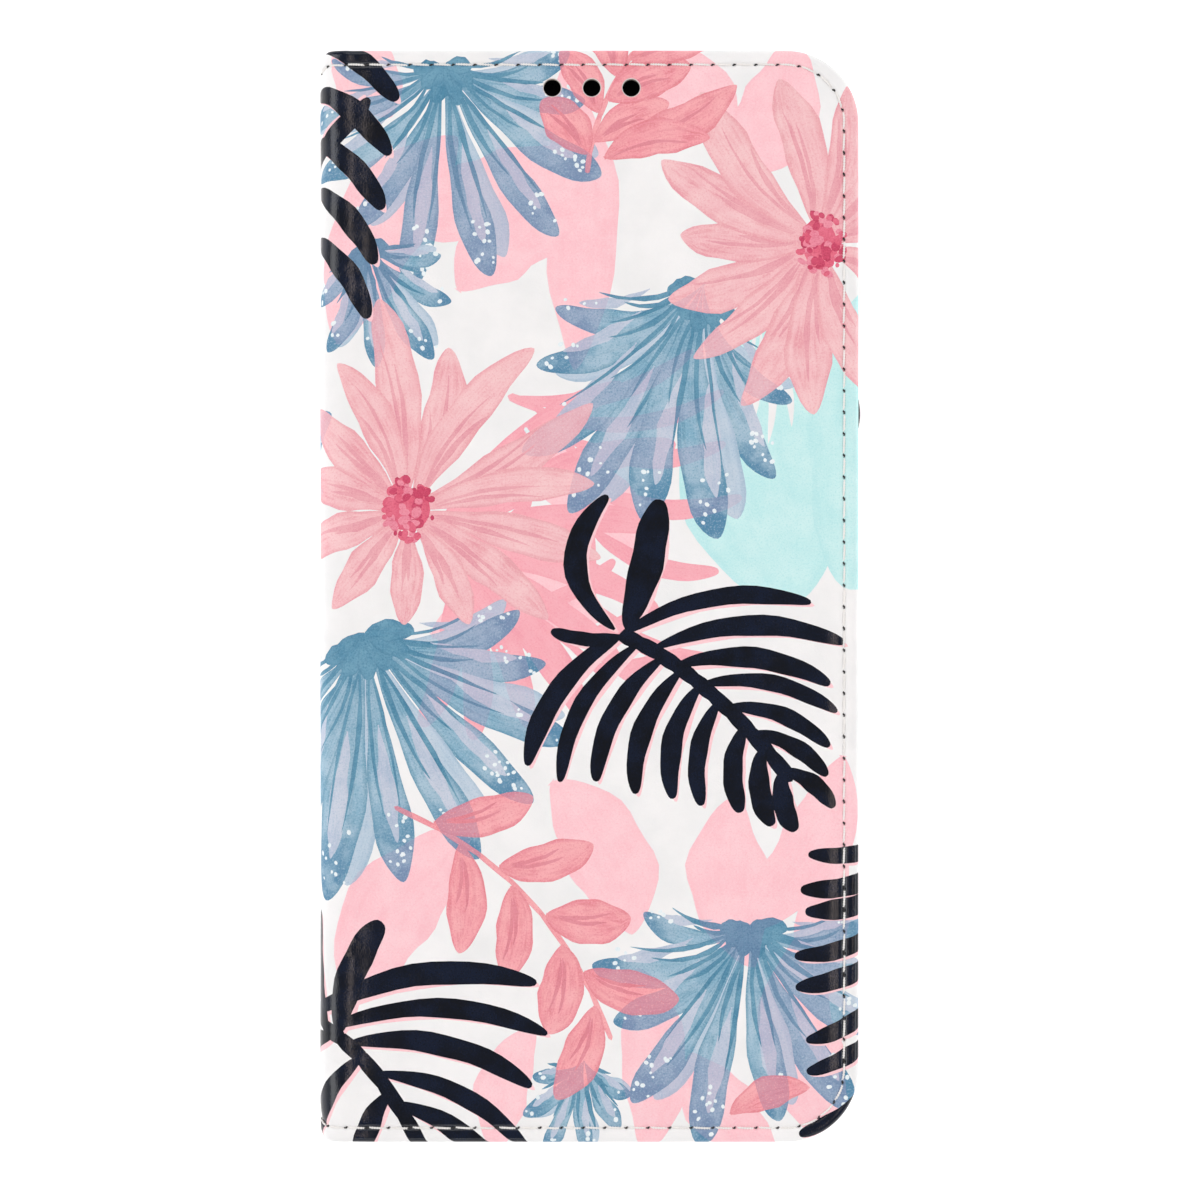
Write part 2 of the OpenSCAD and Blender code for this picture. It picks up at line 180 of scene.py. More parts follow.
def place(u, v, lift, side):
    """Flat sheet to space. lift is outwards. Returns points and normals in millimetres."""
    d, gx, gy = inset(u, v)
    s = np.maximum(ROLL_W - d, 0)
    qu, qv = u - gx * s, v - gy * s
    x, z, tx, tz = section(qu)
    angle = np.clip(s / ROLL_L, 0, 1) * math.pi
    ny, nn = np.sin(angle), np.cos(angle)
    out = ROLL_W * ny - np.maximum(s - ROLL_L, 0)
    down = thickness(qu) / 2 * (1 - nn)
    rise = relief(qu, qv, np.maximum(d, ROLL_W)) * np.cos(angle / 2) - down
    normal = np.column_stack([gx * ny * tx - nn * tz, gy * ny, gx * ny * tz + nn * tx])
    normal /= np.linalg.norm(normal, axis=1)[:, None]
    point = np.column_stack([
        x + gx * out * tx - rise * tz, qv + gy * out, z + gx * out * tz + rise * tx
    ])
    return settle(point + normal * np.reshape(lift, (-1, 1)), normal, side)


def inner(u, v, depth, side):
    """A point under the outer face by depth more than the panel's thickness there."""
    x, z, tx, tz = section(u)
    rise = -(thickness(u) + depth)
    point = np.column_stack([x - tz * rise, v, z + tx * rise])
    return settle(point, np.column_stack([tz, np.zeros_like(u), -tx]), side)


# ---- the print: motifs of this script's own
# Each shape is (class, outline, centre line, half width, seed), in the flat sheet.
PRINT = []
rng = np.random.default_rng(20)
SHADOW = (0.5, -0.45)  # how far a dark frond's pale shadow lies from it


def curve(points, t):
    """Smooth line through 2 or 3 points, at the shares t of it or at that many even ones."""
    p = np.array(points, float)
    t = (np.linspace(0, 1, t) if isinstance(t, int) else t)[:, None]
    if len(p) == 2:
        return p[0] * (1 - t) + p[1] * t
    mid = 2 * p[1] - (p[0] + p[2]) / 2
    return p[0] * (1 - t) ** 2 + 2 * mid * t * (1 - t) + p[2] * t**2


def blade(kind, base, tip, width, bend=0.0, fat=0.5, blunt=0.7, wave=0.05, n=17):
    """A petal, leaf or leaflet: half width rises to its widest at fat, with hand-made wobble."""
    base, tip = np.array(base, float), np.array(tip, float)
    along = tip - base
    length = np.hypot(*along)
    across = np.array([-along[1], along[0]]) / length
    t = 0.5 - 0.5 * np.cos(np.linspace(0, np.pi, n))
    line = curve([base, (base + tip) / 2 + across * bend * length, tip], t)
    swell = np.sin(np.pi * t ** (math.log(0.5) / math.log(fat))) ** blunt
    phase = rng.uniform(0, 6.28, 4)
    left = width * swell * (1 + wave * np.sin(9 * t + phase[0]) + wave * np.sin(17 * t + phase[1]))
    right = width * swell * (1 + wave * np.sin(8 * t + phase[2]) + wave * np.sin(19 * t + phase[3]))
    step = np.gradient(line, axis=0)
    side = np.column_stack([-step[:, 1], step[:, 0]]) / np.hypot(step[:, 0], step[:, 1])[:, None]
    ring = np.vstack([
        line[:1] + side[:1] * 0.12 * width, (line + side * left[:, None])[1:-1], line[-1:],
        (line - side * right[:, None])[1:-1][::-1], line[:1] - side[:1] * 0.12 * width
    ])
    wide = np.maximum((left + right) / 2, 0.15 * width)
    PRINT.append((kind, ring, line, wide, rng.uniform(0, 1)))


def spot(kind, x, y, r, n=9, stretch=1.0, turn=0.0):
    a = np.linspace(0, 2 * np.pi, n, endpoint=False)
    rad = r * (1 + 0.12 * np.sin(2 * a + rng.uniform(0, 6)))
    px, py = rad * np.cos(a) * stretch, rad * np.sin(a)
    c, s = math.cos(turn), math.sin(turn)
    ring = np.column_stack([x + c * px - s * py, y + s * px + c * py])
    line = np.array([[x - r, y], [x + r, y]])
    PRINT.append((kind, ring, line, np.array([r, r]), rng.uniform(0, 1)))


def polar(x, y, angle, r):
    return (x + r * math.cos(math.radians(angle)), y + r * math.sin(math.radians(angle)))


def flower(x, y, size, petals):
    """Long-petalled flower with a dabbed centre. petals is (angle, share of size) for each."""
    for angle, share in petals:
        base, tip = polar(x, y, angle, 1.5), polar(x, y, angle, size * share)
        bend = rng.uniform(-0.09, 0.09)
        width = rng.uniform(2.7, 3.5) * (0.75 + 0.25 * share)
        blade("petal", base, tip, width, bend, fat=rng.uniform(0.5, 0.62), blunt=0.62, wave=0.07)
        for k in (-0.32, 0.24):
            start = polar(x, y, angle + k * 9, 3.5 + 2 * abs(k))
            stop = polar(x, y, angle + k * 8, size * share * rng.uniform(0.55, 0.85))
            blade("streak", start, stop, rng.uniform(0.25, 0.5), bend, 0.4, 0.6, 0.2, n=12)
    spot("centre", x, y, 3.5, 22, 0.85)
    for k in range(70):
        a, r = rng.uniform(0, 360), 4.7 * math.sqrt(rng.uniform(0.02, 1))
        cx, cy = x + 0.8 * r * math.cos(a), y + r * math.sin(a)
        kind = ("centre", "centre_dark", "centre_pale")[k % 3]
        size = rng.uniform(0.45, 0.95) * (1 - 0.07 * r)
        spot(kind, cx, cy, size, 9, rng.uniform(1, 1.5), rng.uniform(0, 3))


def split_leaf(x, y, size, down, spread, lobes):
    """A leaf of round-ended fingers that hang from a hub, with dark ribs and dots at the tips."""
    for i in sorted(range(lobes), key=lambda k: -abs(k - lobes / 2 + 0.4)):
        f = i / (lobes - 1) - 0.5
        angle = down + f * spread
        reach = size * (0.5 + 0.5 * math.cos(f * 2.9)) * rng.uniform(0.9, 1.07)
        lean = -f * 0.3 + rng.uniform(-0.04, 0.04)
        width = (reach * 0.068 + 0.6) * rng.uniform(0.84, 1.1)
        last = angle - f * 22
        tip = polar(x, y, last, reach)
        if i % 2:
            tip_beside = polar(x, y, last + 5, reach * 0.93)
            blade("halo", (x, y), tip_beside, width, lean, 0.72, 0.6, 0.08, n=21)
        blade("blue", (x, y), tip, width, lean, fat=0.73, blunt=0.56, wave=0.07, n=23)
        mid = angle - f * 14
        blade("gleam", polar(x, y, mid, reach * 0.36), polar(x, y, angle - f * 21, reach * 0.84),
              width * 0.4, lean * 0.5, 0.6, 0.6, 0.15, n=15)
        for k in (-1, 1):
            start = polar(x, y, mid - 2 * k, reach * 0.1)
            stop = polar(x, y, angle - f * 21 + k * 95 / reach, reach * rng.uniform(0.5, 0.78))
            thin = rng.uniform(0.25, 0.42)
            blade("rib", start, stop, thin, lean * 0.8 + 0.03 * k, 0.4, 0.6, 0.2, n=11)
        for k in range(int(reach * rng.uniform(0.15, 0.5))):
            r = reach * rng.uniform(0.72, 0.95)
            cx, cy = polar(x, y, last + rng.uniform(-1, 1) * 50 * width / reach, r)
            spot("dot", cx, cy, rng.uniform(0.2, 0.4), 8)
    for k in range(6):
        tip = polar(x, y, down + (k - 2.5) * spread / 6, size * rng.uniform(0.12, 0.19))
        blade("rib", (x, y + 0.4), tip, size * 0.04, 0.05, 0.55, 0.5, 0.1, n=12)


def fan(rib, n, angles, lengths, width, bend, first=0.03, last=0.97):
    """Leaflets along a rib, from the first angle and length to the last."""
    out = []
    for i in range(n):
        f = i / max(n - 1, 1)
        at = rib[int((first + (last - first) * f) * (len(rib) - 1))]
        angle = angles[0] + (angles[1] - angles[0]) * f + rng.uniform(-3, 3)
        length = (lengths[0] + (lengths[1] - lengths[0]) * f) * rng.uniform(0.93, 1.07)
        out.append((at, polar(*at, angle, length), width * rng.uniform(0.88, 1.12), bend))
    return out


def frond(kind, rib, leaflets, width):
    """A palm frond: a rib, and leaflets as (base, tip, half width, bend)."""
    if kind == "black":
        for base, end, wide, bow in leaflets:
            blade("shadow", np.add(base, SHADOW), np.add(end, SHADOW), wide, bow, 0.5, 0.5, 0.05)
    for a, b in zip(rib[:-3:3], rib[3::3]):
        blade(kind, a + (a - b) * 0.12, b + (b - a) * 0.12, width, 0, 0.5, 0.12, 0.02, n=6)
    for base, end, wide, bow in leaflets:
        blade(kind, base, end, wide * 1.1, bow, fat=0.58, blunt=0.36, wave=0.05, n=21)


def sprig(kind, points, leaves, size, width, first=0.1):
    """A thin stem with long oval leaves on both sides."""
    stem = curve(points, 30)
    heading = np.degrees(np.arctan2(*np.gradient(stem, axis=0).T[::-1]))
    for a, b in zip(stem[:-4:4], stem[4::4]):
        blade(kind, a - (b - a) * 0.1, b + (b - a) * 0.1, 0.42, 0, 0.5, 0.12, 0.02, n=8)
    for i in range(leaves):
        for s in (1, -1):
            f = first + (1 - first) * (i + 0.25 - 0.2 * s) / leaves
            k = min(int(f * 29), 29)
            angle = heading[k] + s * rng.uniform(34, 52)
            base = polar(*stem[k], angle, 0.6)
            end = polar(*stem[k], angle + s * 6, size * rng.uniform(0.85, 1.1))
            blade(kind, base, end, width * rng.uniform(0.85, 1.1), s * -0.07, 0.52, 0.6, 0.04, n=21)
            for q in (-0.3, 0.35):
                tip = polar(*stem[k], angle + s * 5 + q * 12, size * rng.uniform(0.6, 0.8))
                foot = polar(*stem[k], angle + q * 10, size * 0.16)
                blade("vein", foot, tip, 0.3, s * -0.07, 0.45, 0.6, 0.2, n=9)


def wash(x, y, angle, length, width, bend=0.1):
    blade("wash", (x, y), polar(x, y, angle, length), width, bend, 0.5, 0.7, 0.06, n=22)


def garden(dx=0.0, flip=1):
    """One panel's worth of print, centred on (dx, 0). flip -1 turns it half way round."""
    start = len(PRINT)
    for item in (
        (-38, 38, 60, 36, 7), (-30, 58, 22, 26, 6, -0.12), (-4, 80, -88, 46, 5.5, 0.04),
        (-20, 46, 34, 24, 6), (6, 84, -50, 24, 5), (-24, -6, 6, 26, 6),
        (-6, -28, -62, 26, 6.5), (-36, -62, 56, 32, 7), (22, -30, -84, 26, 6, -0.1),
        (38, -24, -120, 30, 5.5), (8, -84, 92, 28, 5, -0.08), (-14, -84, 74, 20, 4),
        (38, -84, 100, 34, 6), (30, 84, -110, 22, 6), (-38, 86, -60, 16, 5, 0),
        (28, -84, 130, 20, 5), (-12, 22, -40, 26, 5), (36, -60, 84, 22, 4),
    ):
        wash(*item)
    blade("mint", (24, 42), (31, -1), 12.5, -0.05, 0.52, 0.55, 0.03, n=26)
    blade("mint", (42, 46), (39, 1), 9, 0.03, 0.5, 0.5, 0.04, n=22)
    for k in range(5):
        turn = -62 - k * 11
        blade("paper_gap", polar(26, 44, turn, 4), polar(26, 44, turn - 4, 17 + 2 * k), 0.7, 0.05)
    rib = curve([(-12, 30), (-2, 20), (0, -4)], 20)
    frond("frond_pink", rib, fan(rib, 6, (16, -24), (27, 20), 1.3, -0.12), 0.7)
    rib = curve([(-22, 4), (-10, -2), (2, -12)], 16)
    frond("frond_pink", rib, fan(rib, 5, (42, 10), (18, 12), 1.1, -0.1), 0.6)
    rib = curve([(-24, 8), (-22, 6), (-20, 3)], 16)
    frond("frond_pink", rib, fan(rib, 9, (38, -100), (40, 24), 2.0, 0.08, 0.1, 0.9), 1.0)
    split_leaf(-22, 79.5, 33, -88, 215, 10)
    split_leaf(-34, 53, 21, -72, 150, 6)
    split_leaf(17, 47, 41, -112, 140, 8)
    sprig("coral", [(-0.5, 64), (2, 74), (8, 84)], 3, 13, 3.0)
    blade("coral", (4, 68), (22, 77), 3.0, -0.08, 0.5, 0.7, 0.06)
    blade("vein", (5, 68.4), (19, 75.4), 0.28, -0.08, wave=0.2)
    blade("coral", (2, 66), (18, 69), 2.8, 0.1, 0.5, 0.7, 0.06)
    blade("vein", (3, 66), (15, 68.2), 0.25, 0.1, wave=0.2)
    flower(34.5, 53, 27, [
        (200, 0.9), (176, 0.78), (152, 1.0), (128, 1.08), (104, 0.95), (80, 0.9),
        (222, 0.95), (244, 1.0), (268, 0.95), (292, 0.9), (20, 0.7), (50, 0.8), (330, 0.75)
    ])
    split_leaf(-34, -6, 41, -72, 185, 10)
    flower(-27.5, 13, 31.5, [
        (98, 1.02), (76, 0.8), (52, 0.98), (30, 1.02), (8, 0.9), (-14, 0.95), (-38, 0.85),
        (-62, 0.62), (-92, 0.55), (-128, 0.6), (-164, 0.62), (165, 0.6), (136, 0.72), (116, 0.78)
    ])
    split_leaf(24, -50, 32, -92, 215, 10)
    split_leaf(-1, -70, 15, -100, 150, 6)
    sprig("coral", [(-29, -32), (-9, -46), (3.5, -68)], 4, 15.5, 3.2, 0.12)
    blade("coral", (21, -78), (33, -74), 2.4, 0.1, 0.5, 0.7, 0.06)
    rib = curve([(4.7, -5.8), (18, -14.5), (32, -30)], 30)
    frond("black", rib, fan(rib, 7, (10, -38), (31, 9), 1.3, 0.11, 0.03, 0.9)
          + fan(rib, 9, (-128, -80), (26, 9), 1.35, -0.12, 0.02, 0.92)
          + [((3.6, -5), (2.6, 15.2), 1.55, 0.27), ((5.4, -5), (10.4, 14.6), 2.3, -0.02),
             ((5, -6), (-6, -5.2), 1.0, 0.08)], 1.2)
    rib = curve([(-47, 88), (-45, 74), (-44, 54)], 20)
    frond("black", rib, [
        ((-43.5, 84.5 - 7.4 * k), (-29.2 - 1.1 * k, 74.6 - 8.2 * k), 1.6, 0.1) for k in range(5)
    ], 1.0)
    rib = curve([(-44, -64), (-34, -70), (-24, -86)], 20)
    frond("black", rib, fan(rib, 6, (9, -50), (36, 18), 1.45, 0.11)
          + fan(rib, 5, (-146, -96), (20, 12), 1.4, -0.1)
          + [((-38, -66), (-31.5, -49), 2.1, 0.08), ((-40, -65), (-42, -48), 1.5, 0.1)], 1.2)
    rib = curve([(48, -36), (45.5, -52), (43, -76)], 20)
    frond("black", rib, fan(rib, 8, (190, 214), (16, 14), 1.3, 0.08), 1.0)
    for i, (kind, ring, line, wide, seed) in enumerate(PRINT[start:], start):
        PRINT[i] = (kind, ring * flip + (dx, 0), line * flip + (dx, 0), wide, seed)


garden()
garden(dx=2 * MID_U - 1.5, flip=-1)
LAYERS = {kind: layer for layer, kinds in enumerate((
    ("wash",), ("mint", "paper_gap"), ("frond_pink",), ("halo", "blue", "gleam", "rib", "dot"),
    ("petal", "streak"), ("coral", "vein"), ("centre", "centre_dark", "centre_pale"),
    ("shadow",), ("black",)
)) for kind in kinds}
PINK = {"wash", "petal", "streak", "frond_pink", "coral"}


def local_frame(line, wide, points):
    """How far along a motif's centre line each point is, and how far across it."""
    start, step = line[:-1], np.diff(line, axis=0)
    size = np.maximum((step**2).sum(1), 1e-9)
    rel = points[:, None] - start[None]
    t = np.clip((rel * step[None]).sum(2) / size, 0, 1)
    near = rel - t[:, :, None] * step[None]
    dist = np.hypot(near[..., 0], near[..., 1])
    k = dist.argmin(1)
    row = np.arange(len(points))
    along = (k + t[row, k]) / len(step)
    half = np.interp(along, np.linspace(0, 1, len(wide)), wide)
    cross = step[k, 0] * rel[row, k, 1] - step[k, 1] * rel[row, k, 0]
    return along, np.sign(cross) * dist[row, k] / np.maximum(half, 0.2)


# ---- flat sheets cut into triangles
def row_path(d, step=2.2):
    """Open line at inset d round the sheet, from mid-spine at the top to mid-spine below."""
    r, top = CORNER_R - d, HALF_L - d
    cx, cy = EDGE_X - CORNER_R, HALF_L - CORNER_R
    n = int((cx - MID_U) / step)
    upper = np.column_stack([np.linspace(MID_U, cx, n, endpoint=False), np.full(n, top)])
    a = np.linspace(math.pi / 2, 0, 22)
    arc = np.column_stack([cx + r * np.cos(a), cy + r * np.sin(a)])
    n = int(2 * cy / step)
    right = np.column_stack([np.full(n - 1, EDGE_X - d), np.linspace(cy, -cy, n + 1)[1:-1]])
    return np.vstack([upper, arc, right, arc[::-1] * (1, -1), upper[::-1] * (1, -1)])


def ring_path(x, y, r, n=40):
    a = np.linspace(0, 2 * np.pi, n, endpoint=False)
    return np.column_stack([x + r * np.cos(a), y + r * np.sin(a)])


def rounded_path(x, y, half_w, half_l, r, n=10):
    """Closed outline of a rectangle with round corners."""
    out = []
    for i, (sx, sy) in enumerate(((1, 1), (-1, 1), (-1, -1), (1, -1))):
        a = np.linspace(i * math.pi / 2, (i + 1) * math.pi / 2, n)
        out.append(np.column_stack([
            x + sx * (half_w - r) + r * np.cos(a), y + sy * (half_l - r) + r * np.sin(a)
        ]))
    return np.vstack(out)


def cut_sheet(rows, holes, hole_rows, motifs, lines, edge_d, grid=4.0, lines_v=2.4):
    """Triangles of a flat sheet. Returns points, triangles and each one's list of motifs."""
    points, edges = [], []

    def add(path, closed):
        first = len(points)
        points.extend(map(tuple, path))
        n = len(path)
        edges.extend((first + i, first + i + 1) for i in range(n - 1))
        if closed:
            edges.append((first + n - 1, first))
        return list(range(first, first + n))

    faces = [add(path, True) for path in [row_path(edge_d)] + holes]
    for _, ring, *_ in motifs:
        add(ring, True)
    for d in rows:
        add(row_path(d), False)
    for h in hole_rows:
        add(h, True)
    v_end = HALF_L - edge_d
    n = int(2 * v_end / lines_v)
    for u in lines:
        add(np.column_stack([np.full(n, u), np.linspace(-v_end, v_end, n)]), False)
    gx, gy = np.meshgrid(
        np.arange(RELEASE_X + 1, EDGE_X - 6, grid), np.arange(-HALF_L + 7, HALF_L - 6, grid)
    )
    gx = gx + (np.arange(gx.shape[0]) % 2)[:, None] * grid / 2
    points.extend(zip(gx.ravel(), gy.ravel()))
    faces = [f if area(points, f) > 0 else f[::-1] for f in faces]
    out = delaunay_2d_cdt([Vector(p) for p in points], edges, faces, 1, 1e-4, True)
    co = np.array([tuple(p) for p in out[0]])
    tri = np.array([
        face for face, origin in zip(out[2], out[5])
        if 0 in origin and not any(0 < o <= len(holes) for o in origin) and area(co, face) >= 1e-7
    ])
    middle = co[tri].mean(1)
    stacks = [[] for _ in tri]
    for k, (_, ring, *_) in enumerate(motifs):
        near = np.flatnonzero(((middle > ring.min(0)) & (middle < ring.max(0))).all(1))
        for t in near[inside(ring, middle[near])]:
            stacks[t].append(k)
    used, tri = np.unique(tri, return_inverse=True)
    return co[used], tri.reshape(-1, 3), stacks


def inside(ring, points):
    """Which points lie inside a closed outline."""
    a, b = ring, np.roll(ring, -1, axis=0)
    x, y = points[:, :1], points[:, 1:]
    run = np.where(a[:, 1] == b[:, 1], 1, b[:, 1] - a[:, 1])
    right = a[:, 0] + (y - a[:, 1]) * (b[:, 0] - a[:, 0]) / run > x
    return (((a[:, 1] > y) != (b[:, 1] > y)) & right).sum(1) % 2 == 1


def area(points, face):
    p = np.array([points[i] for i in face])
    return np.dot(p[:, 0], np.roll(p[:, 1], -1)) - np.dot(p[:, 1], np.roll(p[:, 0], -1))


def add_object(name, data):
    obj = bpy.data.objects.new(name, data)
    bpy.context.scene.collection.objects.link(obj)
    return obj


def make_object(name, verts, faces, smooth_angle, materials, indices=None, corners=None):
    """A mesh object from millimetres. corners maps attribute names to one value per corner."""
    mesh = bpy.data.meshes.new(name)
    mesh.from_pydata((np.asarray(verts) * 0.001).tolist(), [], [list(map(int, f)) for f in faces])
    for m in materials:
        mesh.materials.append(m)
    if indices is not None:
        mesh.polygons.foreach_set("material_index", np.asarray(indices, np.int32))
    for key, values in (corners or {}).items():
        if key == "sheet":
            layer = mesh.uv_layers.new(name=key).uv
        else:
            layer = mesh.attributes.new(key, "FLOAT_VECTOR", "CORNER").data
        layer.foreach_set("vector", np.asarray(values, np.float32).ravel())
    mesh.update()
    obj = add_object(name, mesh)
    shade(obj, smooth_angle)
    return obj


def from_bmesh(bm, name, material, smooth_angle):
    """A mesh object from a bmesh in metres."""
    mesh = bpy.data.meshes.new(name)
    bm.to_mesh(mesh)
    bm.free()
    mesh.materials.append(material)
    obj = add_object(name, mesh)
    shade(obj, smooth_angle)
    return obj


def shade(obj, angle):
    """Smooth shading, with edges sharper than angle kept sharp."""
    bm = bmesh.new()
    bm.from_mesh(obj.data)
    limit = math.radians(angle)
    for e in bm.edges:
        e.smooth = len(e.link_faces) != 2 or e.calc_face_angle(0) < limit
    for f in bm.faces:
        f.smooth = True
    bm.to_mesh(obj.data)
    bm.free()


def slab(name, flat, tri, top, bottom, materials, inks=0, wall=0, flip=False, extra=None):
    """Closes a sheet: outer face, inner face and the walls between them."""
    n = len(flat)
    directed = np.vstack([tri[:, [0, 1]], tri[:, [1, 2]], tri[:, [2, 0]]]).tolist()
    seen = {(a, b) for a, b in directed}
    walls = [[a + n, b + n, b, a] for a, b in directed if (b, a) not in seen]
    faces = tri.tolist() + (tri[:, ::-1] + n).tolist() + walls
    if flip:
        faces = [f[::-1] for f in faces]
    index = np.full(len(faces), wall)
    index[: len(tri)] = inks
    loops = np.concatenate([np.array(f) for f in faces]) % n
    corners = {"sheet": flat[loops]}
    for key, values in (extra or {}).items():
        corners[key] = np.zeros((len(loops), 3))
        part = values[:, ::-1] if flip else values
        corners[key][: 3 * len(tri)] = part.reshape(-1, 3)
    return make_object(name, np.vstack([top, bottom]), faces, 50, materials, index, corners)


# ---- materials
def tone(code):
    """A hex colour as linear RGBA."""
    part = [int(code[i:i + 2], 16) / 255 for i in (0, 2, 4)]
    return [c / 12.92 if c <= 0.04045 else ((c + 0.055) / 1.055) ** 2.4 for c in part] + [1.0]


class Finish:
    """A node material. Texture vectors are in millimetres."""

    def __init__(self, name, rough, **values):
        self.material = bpy.data.materials.new(name)
        self.material.use_nodes = True
        self.tree = self.material.node_tree
        self.shader = self.tree.nodes["Principled BSDF"]
        self.paint(Roughness=rough, **values)

    def set(self, node, values):
        for key, value in values.items():
            if isinstance(value, bpy.types.NodeSocket):
                self.tree.links.new(value, node.inputs[key])
            elif value is not None:
                node.inputs[key].default_value = value

    def node(self, kind, values=None, **options):
        n = self.tree.nodes.new(kind)
        for key, value in options.items():
            setattr(n, key, value)
        self.set(n, values or {})
        return n

    def paint(self, **values):
        """Sets the shader's own sockets, with _ for a space in their names."""
        self.set(self.shader, {key.replace("_", " "): value for key, value in values.items()})

    def sheet(self):
        return self.node("ShaderNodeUVMap", uv_map="sheet").outputs["UV"]

    def solid(self):
        coords = self.node("ShaderNodeTexCoord").outputs["Object"]
        return self.stretch(coords, (1000, 1000, 1000))

    def split(self, name):
        """The three values of a corner attribute."""
        vector = self.node("ShaderNodeAttribute", attribute_name=name).outputs["Vector"]
        return vector, self.node("ShaderNodeSeparateXYZ", {0: vector}).outputs

    def vector(self, operation, a, b):
        return self.node("ShaderNodeVectorMath", {0: a, 1: b}, operation=operation).outputs[0]

    def stretch(self, vector, scale):
        return self.vector("MULTIPLY", vector, scale)

    def noise(self, vector, scale, detail=3.0, rough=0.5, distortion=0.0):
        return self.node("ShaderNodeTexNoise", {
            "Vector": vector, "Scale": scale, "Detail": detail, "Roughness": rough,
            "Distortion": distortion
        }).outputs[0]

    def span(self, value, a, b, low=0.0, high=1.0):
        return self.node("ShaderNodeMapRange", {
            0: value, 1: a, 2: b, 3: low, 4: high
        }, interpolation_type="SMOOTHSTEP").outputs[0]

    def math(self, operation, a, b=None):
        return self.node("ShaderNodeMath", {0: a, 1: b}, operation=operation).outputs[0]

    def times(self, a, b):
        return self.math("MULTIPLY", a, b)

    def mix(self, factor, a, b):
        """Blends two colours, each a hex code or a socket."""
        a, b = (tone(c) if isinstance(c, str) else c for c in (a, b))
        return self.node("ShaderNodeMix", {0: factor, 6: a, 7: b}, data_type="RGBA").outputs[2]

    def bump(self, height, strength, distance, below=None):
        return self.node("ShaderNodeBump", {
            "Height": height, "Strength": strength, "Distance": distance * 0.001, "Normal": below
        }).outputs[0]

    def grain(self, vector, amount=1.0, size=0.42):
        """Fine pebbled grain of coated synthetic leather."""
        warp = self.node("ShaderNodeTexNoise", {"Vector": vector, "Scale": 1.1, "Detail": 2.0})
        bent = self.vector("ADD", vector, self.stretch(warp.outputs[1], (0.5, 0.5, 0.5)))
        cells = self.node(
            "ShaderNodeTexVoronoi", {"Vector": bent, "Scale": 1 / size}, feature="DISTANCE_TO_EDGE"
        ).outputs[0]
        pebble = self.span(cells, 0.0, 0.28)
        fine = self.noise(vector, 5.5, 3.0, 0.6)
        height = self.math("ADD", self.times(pebble, 0.55), self.times(fine, 0.7))
        first = self.bump(self.noise(vector, 0.35, 2.0), 0.5 * amount, 0.12)
        self.paint(Normal=self.bump(height, 0.55 * amount, 0.05, first))
        return pebble


def ink(name, base, dark, light, streak, cloud, edge, foot=0.0, over_pink=None, over_blue=None,
        tip=None, rough=0.42, gloss=0.3, grain=1.0):
    """A printed watercolour: streaks along each shape, pooled edges and cloudy tone."""
    f = Finish("ink_" + name, rough, Specular_IOR_Level=gloss)
    sheet = f.sheet()
    motif, (along, across, seed) = f.split("motif")
    brush = f.span(f.noise(f.stretch(motif, (2.2, 2.4, 37.0)), 2.3, 4.0, 0.6, 0.6), 0.42, 0.68)
    patch = f.span(f.noise(sheet, 0.22, 3.0, 0.55), 0.35, 0.68)
    speck = f.span(f.noise(sheet, 1.6, 4.0, 0.7), 0.35, 0.75)
    colour = f.mix(f.times(brush, streak), base, dark)
    colour = f.mix(f.times(patch, cloud), colour, light)
    colour = f.mix(f.times(f.times(seed, 0.45), cloud), colour, light)
    if foot:
        colour = f.mix(f.times(f.span(along, 0.5, 0.0), foot), colour, dark)
    if tip:
        far = f.times(f.span(along, 0.56, 0.82), f.span(patch, 0.9, 0.2, 0.35, 0.95))
        colour = f.mix(far, colour, tip)
    pooled = f.span(f.math("ABSOLUTE", across), 0.72, 1.02)
    colour = f.mix(f.times(pooled, edge), colour, dark)
    colour = f.mix(f.times(speck, 0.1), colour, light)
    for share, over, part in ((0.42, over_pink, 0), (0.5, over_blue, 1)):
        if over:
            colour = f.mix(f.times(f.split("under")[1][part], share), colour, over)
    pebble = f.grain(sheet, grain)
    fleck = f.noise(sheet, 3.4, 2.0, 0.8)
    colour = f.mix(f.span(fleck, 0.48, 0.3, 0.0, 0.6), colour, dark)
    colour = f.mix(f.span(fleck, 0.52, 0.7, 0.0, 0.6), colour, light)
    shine = f.span(pebble, 0.0, 1.0, rough + 0.1 * grain, rough - 0.03)
    f.paint(Base_Color=colour, Roughness=shine)
    return f.material


def paper(name):
    """The bare white ground of the print."""
    f = Finish("ink_" + name, 0.44, Specular_IOR_Level=0.3)
    sheet = f.sheet()
    f.paint(Base_Color=f.mix(f.span(f.noise(sheet, 0.12, 3.0), 0.3, 0.7), "F4F4F5", "EDEEEF"))
    f.grain(sheet)
    return f.material


def fibre_finish(name, rough, base, light, scale, detail, strength, depth):
    """Pressed fibre: board, tape and the backing at a cut edge."""
    f = Finish(name, rough)
    fibre = f.noise(f.solid(), scale, detail, 0.7)
    f.paint(Base_Color=f.mix(fibre, base, light), Normal=f.bump(fibre, strength, depth))
    return f.material


